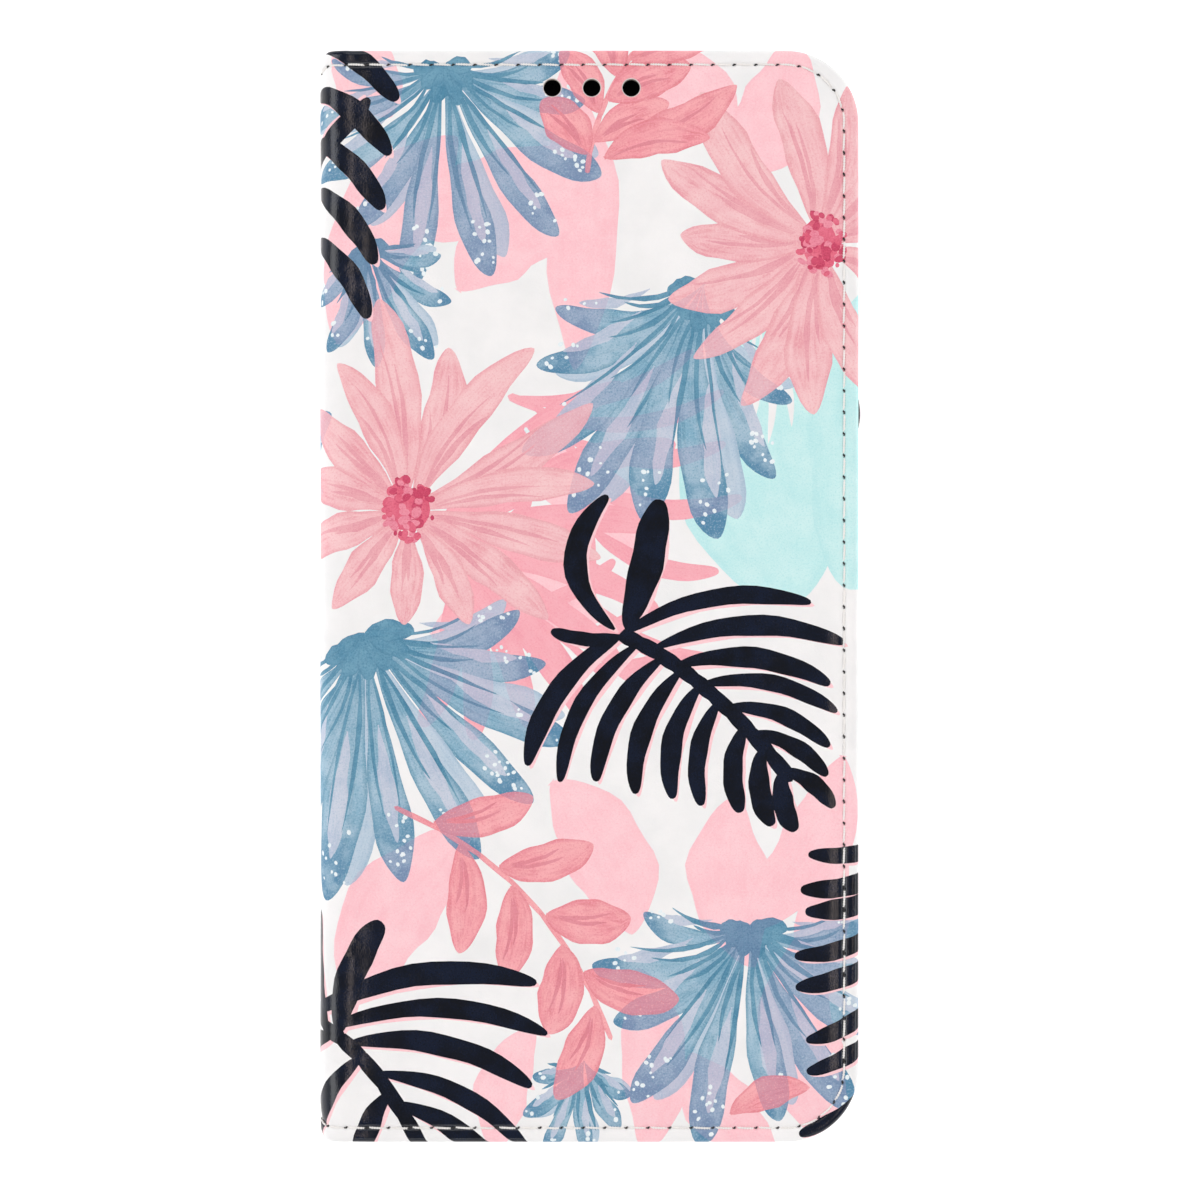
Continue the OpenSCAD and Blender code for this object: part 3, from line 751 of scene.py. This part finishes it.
# base, dark and light tone, streaks, clouds, pooled edge, dark foot, over pink, over blue, tip
INKS = {
    "wash": ("FBC6CF", "F6B3BF", "FDD6DC", 0.35, 0.6, 0.15),
    "paper_gap": None,
    "halo": ("B7CCDD", "8FB1CB", "CAD5E2", 0.5, 0.6, 0.5, 0.0, "C3AFC9"),
    "gleam": ("B4BFD5", "8FB0C9", "D3D8E4", 0.6, 0.6, 0.0, 0.0, "BCA9C6"),
    "mint": ("BCEBEC", "A4E0E4", "D3F3F3", 0.35, 0.6, 0.2),
    "frond_pink": ("F5A9B6", "EE93A4", "F9BDC6", 0.45, 0.5, 0.2),
    "blue": ("7DADC6", "4083A3", "B3CBDB", 0.8, 0.75, 0.6, 0.8, "9A97BB", None, "4C82A6"),
    "rib": ("4A88A7", "2F6B8C", "78A8C0", 0.7, 0.7, 0.3, 0.0, "7A82AA"),
    "dot": ("E6F0F4", "CFE2EB", "F4F8FA", 0.2, 0.3, 0.1),
    "petal": ("F0B9C0", "E5929F", "F7D0D2", 0.85, 0.7, 0.6, 0.4, None, "D3A8BA"),
    "streak": ("E8A0AC", "DB8393", "F0B7BE", 0.6, 0.6, 0.2),
    "coral": ("F2A0AA", "DF7785", "F8B9BD", 0.85, 0.6, 0.6, 0.4, None, "A97E9C"),
    "vein": ("E08491", "D27081", "EA9BA5", 0.6, 0.6, 0.2),
    "centre": ("DE5B79", "C73E5F", "EA8096", 0.6, 0.6, 0.5),
    "centre_dark": ("CB4164", "AE2C4E", "DB5E7B", 0.6, 0.5, 0.5),
    "centre_pale": ("E8859C", "D55F7C", "F0A6B4", 0.6, 0.5, 0.6),
    "shadow": ("FACBD2", "F5B9C3", "FBD8DD", 0.3, 0.4, 0.1),
    # glossier and smoother than the rest
    "black": ("080A11", "04060A", "101A30", 0.5, 0.8, 0.3, 0.0, None, None, None, 0.12, 0.4, 0.35),
}
INK_MATERIALS = {"paper": paper("paper")}
for name, values in INKS.items():
    INK_MATERIALS[name] = ink(name, *values) if values else paper(name)
INK_MATERIALS["cut"] = fibre_finish("cut_edge", 0.7, "CFC9C6", "E6E1DE", 6.0, 4.0, 0.6, 0.06)


def dark_leather(name, base, light, size=0.5, rough=0.5, mapped=True):
    f = Finish(name, rough, Specular_IOR_Level=0.4)
    vector = f.sheet() if mapped else f.solid()
    f.paint(Base_Color=f.mix(f.span(f.noise(vector, 0.3, 3.0), 0.3, 0.7), base, light))
    pebble = f.grain(vector, 1.6, size)
    f.paint(Roughness=f.span(pebble, 0.0, 1.0, rough + 0.15, rough - 0.05))
    return f.material


def thread_finish(name, base, shade_to):
    f = Finish(name, 0.75, Sheen_Weight=0.35, Sheen_Roughness=0.5)
    fibre = f.noise(f.solid(), 14.0, 3.0, 0.7)
    colour = f.mix(f.span(fibre, 0.35, 0.7), base, shade_to)
    f.paint(Base_Color=colour, Normal=f.bump(fibre, 0.5, 0.03))
    return f.material


def moulded_finish(name):
    """Soft moulded plastic: black, smooth, faintly mottled gloss."""
    f = Finish(name, 0.3, Specular_IOR_Level=0.5)
    vector = f.solid()
    haze = f.noise(vector, 0.25, 4.0, 0.6)
    f.paint(
        Base_Color=f.mix(haze, "1A1A1C", "242427"), Roughness=f.span(haze, 0.3, 0.75, 0.24, 0.42),
        Normal=f.bump(f.noise(vector, 9.0, 2.0), 0.25, 0.02)
    )
    return f.material


def metal_finish(name):
    f = Finish(name, 0.3, Metallic=1.0)
    brushed = f.noise(f.stretch(f.solid(), (0.5, 8, 8)), 2.0, 3.0)
    shine = f.span(brushed, 0.2, 0.8, 0.22, 0.42)
    f.paint(Base_Color=f.mix(brushed, "B8B8BC", "D4D4D6"), Roughness=shine)
    return f.material


LINING = dark_leather("lining_leather", "17171A", "202024")
POCKET = dark_leather("pocket_leather", "1B1B1E", "26262A", 0.45, 0.46, mapped=False)
WHITE = thread_finish("white_thread", "FBFAF9", "E8E6E3")
BLACK = thread_finish("black_thread", "0C0C0E", "1D1D20")
SHELL = moulded_finish("moulded_shell")
BOARD = fibre_finish("grey_board", 0.85, "8B857B", "A79F93", 3.0, 5.0, 0.5, 0.05)
FILLER = fibre_finish("filler_sheet", 0.85, "5C5854", "6E6A66", 3.0, 5.0, 0.5, 0.05)
TAPE = fibre_finish("adhesive_tape", 0.85, "D6D4CF", "E3E1DC", 3.0, 5.0, 0.5, 0.05)
MAGNET = metal_finish("plated_magnet")


# ---- the cover, in two halves
SIDES = {
    "front": (
        1, "cover", CASE_T - HINGE_IN,
        ("front_skin", "spine_skin"), ("front_lining", "spine_lining")
    ),
    "back": (-1, "back", HINGE_IN, ("back_skin",), ("back_lining",)),
}
SKIN_ROWS = (
    [ROLL_W - ROLL_L * k / 10 for k in range(0, 11)] + [-3.2, -4.8]
    + [1.15, 1.45, 1.65, 1.8, 1.95, 2.08, 2.2, 2.32, 2.45, 2.6, 2.8, 3.1, 3.6, 4.4, 5.6]
)
LINING_ROWS = [1.28, 1.45, 1.7, 1.9, 2.05, 2.2, 2.35, 2.5, 2.8, 3.5, 5.5]
CREASE_LINES = list(np.arange(MID_U + 0.7, -33.2, 0.62)) + [-32.6, -31.8]


def bend(obj, side):
    """Bakes a piece of the cover's transform into its mesh."""
    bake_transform(obj)


def holes_of(side, grow=0.0):
    if side == "front":
        return [ring_path(x, EAR_Y, EAR_R + grow) for x in EARS]
    x, y, w, h, r = CAMERA
    return [rounded_path(x, y, w + 1 + grow, h + 1 + grow, r + 1 + grow)]


def margin_holes(side):
    """The same holes where the turned-in margin crosses them, in the flat sheet."""
    v = 2 * HALF_L - EAR_Y - 2 * ROLL_W + ROLL_L
    return [ring_path(x, v, EAR_R + 0.04) for x in EARS] if side == "front" else []


def hole_dip(side, flat):
    """How far the sheet is pressed down right at the edge of a hole."""
    u, v = flat.T
    if side == "front":
        gap = np.min([np.hypot(u - x, v - EAR_Y) - EAR_R for x in EARS], axis=0)
        return 0.16 * np.exp(-np.maximum(gap, 0) / 0.16)
    x, y, w, h, r = CAMERA
    qx, qy = np.abs(u - x) - (w - r), np.abs(v - y) - (h - r)
    out = np.hypot(np.maximum(qx, 0), np.maximum(qy, 0))
    gap = out + np.minimum(np.maximum(qx, qy), 0) - (r + 1)
    return 0.2 * np.exp(-np.maximum(gap, 0) / 0.3)


def local_print(side):
    """The motifs that reach this half, in its own flat coordinates."""
    out = []
    for rank, (kind, ring, line, wide, seed) in enumerate(PRINT):
        if side == "back":
            ring = ring * (-1, 1) + (2 * MID_U, 0)
            line = line * (-1, 1) + (2 * MID_U, 0)
        low, high = ring.min(0), ring.max(0)
        if (high > (MID_U, -HALF_L - 7)).all() and (low < (EDGE_X + 7, HALF_L + 7)).all():
            out.append((kind, ring, line, wide, seed, (LAYERS[kind], rank)))
    return out


def cover_skin(side):
    sign, _, _, nodes, _ = SIDES[side]
    motifs = local_print(side)
    hole_rows = [p for g in (0.12, 0.25, 0.5) for p in holes_of(side, g)]
    flat, tri, stacks = cut_sheet(
        SKIN_ROWS, holes_of(side) + margin_holes(side), hole_rows, motifs, CREASE_LINES,
        ROLL_W - ROLL_L - (MARGIN - ROLL_W)
    )
    names = list(INK_MATERIALS)
    index = np.zeros(len(tri), int)
    top_of = np.full(len(tri), -1)
    under = np.zeros((len(tri), 3, 3))
    for k, stack in enumerate(stacks):
        if stack:
            order = sorted(stack, key=lambda m: motifs[m][5])
            top_of[k] = order[-1]
            *kinds, own = (motifs[m][0] for m in order)
            index[k] = names.index(own)
            under[k, :, 0] = bool(PINK.intersection(kinds)) and own not in PINK
            under[k, :, 1] = "blue" in kinds and own in ("petal", "coral")
    middle = flat[tri].mean(1)
    for rim in holes_of(side, 0.13):
        index[inside(rim, middle)] = names.index("cut")
    motif = np.zeros((len(tri), 3, 3))
    for m in np.unique(top_of[top_of >= 0]):
        which = np.flatnonzero(top_of == m)
        _, _, line, wide, seed, _ = motifs[m]
        along, across = local_frame(line, wide, flat[tri[which]].reshape(-1, 2))
        motif[which] = np.column_stack([along, across, np.full(len(along), seed)]).reshape(-1, 3, 3)
    dip = hole_dip(side, flat)
    u, v = flat[:, 0], flat[:, 1]
    top, _ = place(u, v, -dip, sign)
    bottom, _ = place(u, v, -dip * 0.3 - SKIN_T, sign)
    obj = slab(
        side + "_cover_skin", flat, tri, top, bottom, list(INK_MATERIALS.values()), index,
        names.index("cut"), sign < 0, {"motif": motif, "under": under}
    )
    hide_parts(*nodes)
    bend(obj, side)


def cover_lining(side):
    sign, _, _, _, nodes = SIDES[side]
    flat, tri, _ = cut_sheet(LINING_ROWS, holes_of(side), [], [], CREASE_LINES, 1.2)
    u, v = flat[:, 0], flat[:, 1]
    d = inset(u, v)[0]
    drop = 0.26 * np.exp(-(d - 1.2) / 0.16)
    seam = 0.13 * np.exp(-(((d - SEAM_IN) / 0.35) ** 2))
    waves = 0.03 + 0.03 * np.sin(u * 0.33 + 1) * np.sin(v * 0.19)
    fold = 0.05 * np.sin(v * 1.6 + 2 * np.sin(v * 0.4)) * np.exp(-(((u + 38.5) / 2.2) ** 2))
    top, _ = inner(u, v, 0.01, sign)
    bottom, _ = inner(u, v, LINING_T - drop - seam - waves * smooth(2.4, 8, d) + fold, sign)
    obj = slab(side + "_cover_lining", flat, tri, top, bottom, [LINING], flip=sign < 0)
    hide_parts(*nodes)
    bend(obj, side)


# ---- thread
def seam_line(s):
    """Flat position at s along the seam, from mid-spine at the top round to mid-spine below."""
    r = CORNER_R - SEAM_IN
    cx, cy = EDGE_X - CORNER_R, HALF_L - CORNER_R
    run, arc, side = cx - MID_U, math.pi / 2 * r, 2 * cy
    a1 = np.clip((s - run) / r, 0, math.pi / 2)
    a2 = np.clip((s - run - arc - side) / r, 0, math.pi / 2)
    end = np.maximum(s - run - 2 * arc - side, 0)
    u = MID_U + np.minimum(s, run) + r * np.sin(a1) - r * (1 - np.cos(a2)) - end
    v = cy + r * np.cos(a1) - np.clip(s - run - arc, 0, side) - r * np.sin(a2)
    return u, v


def seam_length():
    r = CORNER_R - SEAM_IN
    return 2 * (EDGE_X - CORNER_R - MID_U) + math.pi * r + 2 * (HALF_L - CORNER_R)


def twisted(name, points, normals, radius, pitch, material, ply=2, sides=6):
    """Thread in short lengths: ply strands twisted together. points is (pieces, steps, 3)."""
    k, n, _ = points.shape
    tangent = np.gradient(points, axis=1)
    tangent /= np.linalg.norm(tangent, axis=2)[..., None]
    side = np.cross(tangent, normals)
    side /= np.linalg.norm(side, axis=2)[..., None]
    up = np.cross(side, tangent)
    step = np.linalg.norm(np.diff(points, axis=1), axis=2)
    run = np.concatenate([np.zeros((k, 1)), np.cumsum(step, axis=1)], axis=1)
    verts, faces, count = [], [], 0
    for j in range(ply):
        phase = 2 * math.pi * (j / ply + run / pitch)
        off = np.cos(phase)[..., None] * up + np.sin(phase)[..., None] * side
        centre = points + radius * 0.85 * off
        turns = [2 * math.pi * q / sides for q in range(sides)]
        ring = [centre + radius * (math.cos(a) * up + math.sin(a) * side) for a in turns]
        verts.append(np.stack(ring, axis=2).reshape(-1, 3))
        index = np.arange(k * n * sides).reshape(k, n, sides) + count
        count += k * n * sides
        a, b = index[:, :-1], index[:, 1:]
        quads = np.stack([a, np.roll(a, -1, 2), np.roll(b, -1, 2), b], axis=-1)
        faces += quads.reshape(-1, 4).tolist()
        faces += index[:, 0, ::-1].tolist() + index[:, -1].tolist()
    return make_object(name, np.vstack(verts), faces, 60, [material])


def on_seam(s, lift, sign, skew):
    """Points and normals on the outer face for arrays of seam positions."""
    u, v = seam_line(s)
    _, gx, gy = inset(u, v)
    p, n = place((u + gx * skew).ravel(), (v + gy * skew).ravel(), lift.ravel(), sign)
    return p.reshape(s.shape + (3,)), n.reshape(s.shape + (3,))


def seam_threads(side, needle_nodes, bobbin_nodes):
    sign = SIDES[side][0]
    total = seam_length()
    n = round(total / STITCH)
    step = total / n
    random = np.random.default_rng(7 + sign)
    t = np.linspace(0, 1, 15)
    holes = np.arange(n)[:, None] * step
    reach = 0.3 + t[None] * (step - 0.6)
    high = 0.36 if sign > 0 else 0.24
    lift = -0.22 + high * np.sin(math.pi * t)[None] ** 0.45 + random.uniform(-0.015, 0.015, (n, 1))
    slant = (t[None] - 0.5) * -0.14 + random.uniform(-0.03, 0.03, (n, 1))
    p, normal = on_seam(holes + reach, lift, sign, slant)
    obj = twisted(side + "_white_stitches", p, normal, 0.115, 0.8, WHITE)
    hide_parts(*needle_nodes)
    bend(obj, side)

    # the bobbin thread: a knot that shows at each hole, and runs along the lining
    first, last, rise = (0, n + 1, 0.1) if sign > 0 else (1, n, -0.02)
    holes = np.arange(first, last)[:, None] * step
    t = np.linspace(-1, 1, 9)[None] + 0 * holes
    length = 0.21 + random.uniform(-0.04, 0.04, (last - first, 1))
    knots, knot_normals = on_seam(
        np.clip(holes + t * length, 0, total), rise - 0.2 * t**2, sign, 0.07 * t
    )
    t = np.linspace(0, 1, 9)[None]
    u, v = seam_line(np.arange(n)[:, None] * step + 0.15 + t * (step - 0.3))
    under, under_n = (
        a.reshape(u.shape + (3,)) for a in inner(u.ravel(), v.ravel(), LINING_T, sign)
    )
    sink = -0.12 + 0.2 * np.sin(math.pi * t) ** 0.5
    p = np.concatenate([knots, under + under_n * sink[..., None]])
    normal = np.concatenate([knot_normals, under_n])
    obj = twisted(side + "_black_stitches", p, normal, 0.1, 0.75, BLACK)
    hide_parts(*bobbin_nodes)
    bend(obj, side)


for side in ("front", "back"):
    cover_skin(side)
    cover_lining(side)
seam_threads(
    "front", ("front_needle_thread", "spine_needle_thread"),
    ("front_bobbin_thread", "spine_bobbin_thread")
)
seam_threads("back", ("back_needle_thread",), ("back_bobbin_thread",))


# ---- pockets on the front lining
def card_pocket(node):
    """A thin pocket panel with rolled edges and a pressed line beside its open edge."""
    low, high = node_box(node)
    r = 4.0
    rim = [(low[0], low[1]), (low[0], high[1])]
    for cx, cy, start in ((high[0] - r, high[1] - r, 90), (high[0] - r, low[1] + r, 0)):
        for a in np.linspace(start, start - 90, 9):
            rim.append((cx + r * math.cos(math.radians(a)), cy + r * math.sin(math.radians(a))))
    bm = bmesh.new()
    face = bm.faces.new([bm.verts.new((x * 0.001, y * 0.001, low[2] * 0.001)) for x, y in rim])
    grown = bmesh.ops.extrude_face_region(bm, geom=[face])["geom"]
    lift = (high[2] - low[2] - 0.02) * 0.001
    bmesh.ops.translate(
        bm, vec=(0, 0, lift), verts=[v for v in grown if isinstance(v, bmesh.types.BMVert)]
    )
    bmesh.ops.recalc_face_normals(bm, faces=bm.faces)
    face_z = low[2] * 0.001 + 1e-7
    lower = [e for e in bm.edges if all(v.co.z < face_z for v in e.verts)]
    bmesh.ops.bevel(bm, geom=lower, offset=0.00014, segments=3, affect="EDGES", profile=0.5)
    line = (low[0] + 1.6) * 0.001
    for x, dip in ((-0.3, 0), (0.0, 0.08), (0.3, 0)):
        cut = bmesh.ops.bisect_plane(
            bm, geom=bm.verts[:] + bm.edges[:] + bm.faces[:],
            plane_co=(line + x * 0.001, 0, 0), plane_no=(1, 0, 0)
        )
        for v in {v for v in cut["geom_cut"] if isinstance(v, bmesh.types.BMVert)}:
            if v.co.z < face_z:
                v.co.z += dip * 0.001
    obj = from_bmesh(bm, node + "_panel", POCKET, 35)
    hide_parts(node)
    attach(obj, "cover")


def pocket_stitches():
    """Black lockstitch along the pockets' top, opening edge and bottom."""
    steps = [node_box(n)[0] for n in ("money_pocket", "outer_card_pocket", "inner_card_pocket")]
    low, high = steps[0], node_box("money_pocket")[1]
    inn = 1.6
    t = np.linspace(0, 1, 9)
    points = []
    for a, b in (
        ((low[0] + 1.2, low[1] + inn), (high[0] - inn - 1.5, low[1] + inn)),
        ((low[0] + 1.2, high[1] - inn), (high[0] - inn - 1.5, high[1] - inn)),
        ((high[0] - inn, low[1] + inn + 1.5), (high[0] - inn, high[1] - inn - 1.5)),
    ):
        a, b = np.array(a), np.array(b)
        length = np.hypot(*(b - a))
        n = round(length / STITCH)
        gap = (b - a) / length * 0.25
        for i in range(n):
            start, end = a + (b - a) * i / n + gap, a + (b - a) * (i + 1) / n - gap
            line = start * (1 - t[:, None]) + end * t[:, None]
            depth = np.array([
                min(s[2] for s in steps if x > s[0] - 0.05 or s is low) for x in line[:, 0]
            ])
            points.append(np.column_stack([line, depth + 0.07 - 0.16 * np.sin(math.pi * t) ** 0.5]))
    points = np.array(points)
    normals = np.broadcast_to((0, 0, -1.0), points.shape)
    obj = twisted("pocket_stitches", points, normals, 0.1, 0.8, BLACK)
    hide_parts("pocket_thread")
    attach(obj, "cover")


for node in ("money_pocket", "outer_card_pocket", "inner_card_pocket"):
    card_pocket(node)
pocket_stitches()


# ---- moulded shell and buttons
def softened(node, name, width, material, body):
    """The node's own shape with its moulded edges rounded off."""
    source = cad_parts[node]
    bm = bmesh.new()
    bm.from_mesh(source.data)
    bm.transform(source.matrix_world)
    bmesh.ops.remove_doubles(bm, verts=bm.verts, dist=2e-6)
    bmesh.ops.dissolve_limit(bm, angle_limit=math.radians(0.6), verts=bm.verts, edges=bm.edges)
    limit = math.radians(38)
    sharp = [e for e in bm.edges if len(e.link_faces) == 2 and e.calc_face_angle(0) > limit]
    bmesh.ops.bevel(
        bm, geom=sharp, offset=width * 0.001, segments=3, affect="EDGES", clamp_overlap=True
    )
    bmesh.ops.triangulate(bm, faces=[f for f in bm.faces if len(f.verts) > 4])
    obj = from_bmesh(bm, name, material, 30)
    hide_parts(node)
    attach(obj, body)


def button_outline(straight, arc=12, run=14):
    """Offset along the pad and direction along and across it, round a stadium from its top."""
    out = []
    for end, first in ((1, -90), (-1, 90)):
        for k in range(arc + 1):
            a = math.radians(first + 180 * k / arc)
            out.append((end * straight, math.cos(a), math.sin(a)))
        for k in range(1, run):
            out.append((end * straight * (1 - 2 * k / run), 0.0, float(end)))
    return out


def crowned_button(node, body, crown):
    """A button pad with a domed, crowned face and a fillet round its foot."""
    low, high = node_box(node)
    y_mid, z_mid = (low[1] + high[1]) / 2, (low[2] + high[2]) / 2
    half_l, r = (high[1] - low[1]) / 2, (high[2] - low[2]) / 2
    depth = high[0] - low[0]
    outline = button_outline(half_l - r)
    n = len(outline)
    # how far in from the foot's outline, and at what share of the height
    rings = [
        (0.0, 0.0), (0.0, 0.55), (0.03, 0.72), (0.12, 0.84),
        (0.28, 0.93), (0.5, 0.975), (0.75, 0.995)
    ]
    verts, faces = [], []
    for inward, height in rings + [(1.1, 1.0), (r * 0.82, 1.0)]:
        rr = r - inward
        for y_off, c, s in outline:
            y = y_mid + y_off + rr * c
            drop = crown * (1 - math.exp(-((y - y_mid) ** 2) / 11.0)) * max(height - 0.5, 0) * 2
            verts.append((low[0] + depth * height - drop, y, z_mid + rr * s))
    for j in range(len(rings) + 1):
        for k in range(n):
            a, b = j * n + k, j * n + (k + 1) % n
            faces.append((a, b, b + n, a + n))
    last = (len(rings) + 1) * n
    faces.append(tuple(range(n))[::-1])
    # close the face with strips that run across the pad: outline point k faces 12 - k
    for k in range(6, 6 + n // 2):
        strip = [last + q % n for q in (k, k + 1, 11 - k, 12 - k)]
        faces.append(tuple(dict.fromkeys(strip)))
    obj = make_object(node + "_pad", verts, [f for f in faces if len(f) > 2], 50, [SHELL])
    bm = bmesh.new()
    bm.from_mesh(obj.data)
    bmesh.ops.recalc_face_normals(bm, faces=bm.faces)
    bm.to_mesh(obj.data)
    bm.free()
    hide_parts(node)
    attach(obj, body)


softened("phone_shell", "moulded_phone_shell", 0.32, SHELL, "back")
crowned_button("power_button", "power", 0.72)
crowned_button("volume_button", "volume", 0.3)

for node, material in {
    "back_board": BOARD, "front_board": BOARD, "spine_board": BOARD, "back_padding": FILLER,
    "front_padding": FILLER, "shell_adhesive": TAPE, "back_magnets": MAGNET, "front_magnets": MAGNET
}.items():
    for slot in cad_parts[node].material_slots:
        slot.material = material

# ---- floor, light and camera
# a round floor whose rim curves up far behind, as radius and height
SWEEP = [(500, 0), (3400, 0), (4100, 50), (4700, 200), (5100, 500), (5300, 1000), (5400, 1600)]
TURNS = 48
points = [
    (r * math.cos(math.tau * k / TURNS), r * math.sin(math.tau * k / TURNS), z - 0.2)
    for r, z in SWEEP for k in range(TURNS)
]
faces = [tuple(range(TURNS))]
for j in range(0, (len(SWEEP) - 1) * TURNS, TURNS):
    for k in range(TURNS):
        after = (k + 1) % TURNS
        faces.append((j + k, j + TURNS + k, j + TURNS + after, j + after))
pale = Finish("pale_floor", 0.9, Specular_IOR_Level=0.1, Base_Color=(0.86, 0.86, 0.86, 1))
pale.paint(Emission_Color=(1, 1, 1, 1), Emission_Strength=0.5)
floor = make_object("floor", points, faces, 180, [pale.material])

# two narrow warm strips for the sheen beside the spine and the seam, and four large boxes
WARM, NEUTRAL = (1.0, 0.82, 0.72), (1, 1, 1)
for name, place_at, width, height, power, colour in (
    ("left_strip", (-0.29, 0, 0.92), 1.0, 0.08, 1.0, WARM),
    ("right_strip", (0.29, 0, 0.92), 1.0, 0.08, 1.0, WARM),
    ("left_box", (-1.05, 0.05, 0.72), 1.4, 0.5, 7.2, NEUTRAL),
    ("right_box", (1.05, 0.05, 0.72), 1.4, 0.5, 6.8, NEUTRAL),
    ("head_box", (0, 1.15, 0.8), 1.1, 0.5, 3.4, NEUTRAL),
    ("foot_box", (0, -1.15, 0.8), 1.1, 0.5, 3.0, NEUTRAL),
):
    data = bpy.data.lights.new(name, "AREA")
    data.shape = "RECTANGLE"
    data.size, data.size_y, data.energy, data.color = width, height, power, colour
    light = add_object(name, data)
    light.location = place_at
    light.rotation_euler = (-Vector(place_at)).to_track_quat("-Z", "Y").to_euler()

world = bpy.data.worlds.new("studio")
bpy.context.scene.world = world
world.use_nodes = True
sky = world.node_tree.nodes["Background"]
sky.inputs["Color"].default_value = (0.92, 0.93, 0.95, 1)
sky.inputs["Strength"].default_value = 0.25
bpy.context.scene.view_settings.view_transform = "Standard"
bpy.context.scene.view_settings.look = "None"

LENS, SENSOR = 120, 36
FIELD = 0.1792  # metres across the picture at the cover's face
AIM_X, AIM_Y = 0.00084, 0.00034  # the picture's middle, off the cover's middle
camera_data = bpy.data.cameras.new("camera")
camera_data.lens = LENS
camera_data.sensor_width = SENSOR
camera_data.clip_start = 0.01
camera = add_object("camera", camera_data)
camera.location = (
    (SPINE_X + EDGE_X) / 2000 + AIM_X, AIM_Y, CASE_T * 0.001 - 0.001 + FIELD * LENS / SENSOR
)
bpy.context.scene.camera = camera
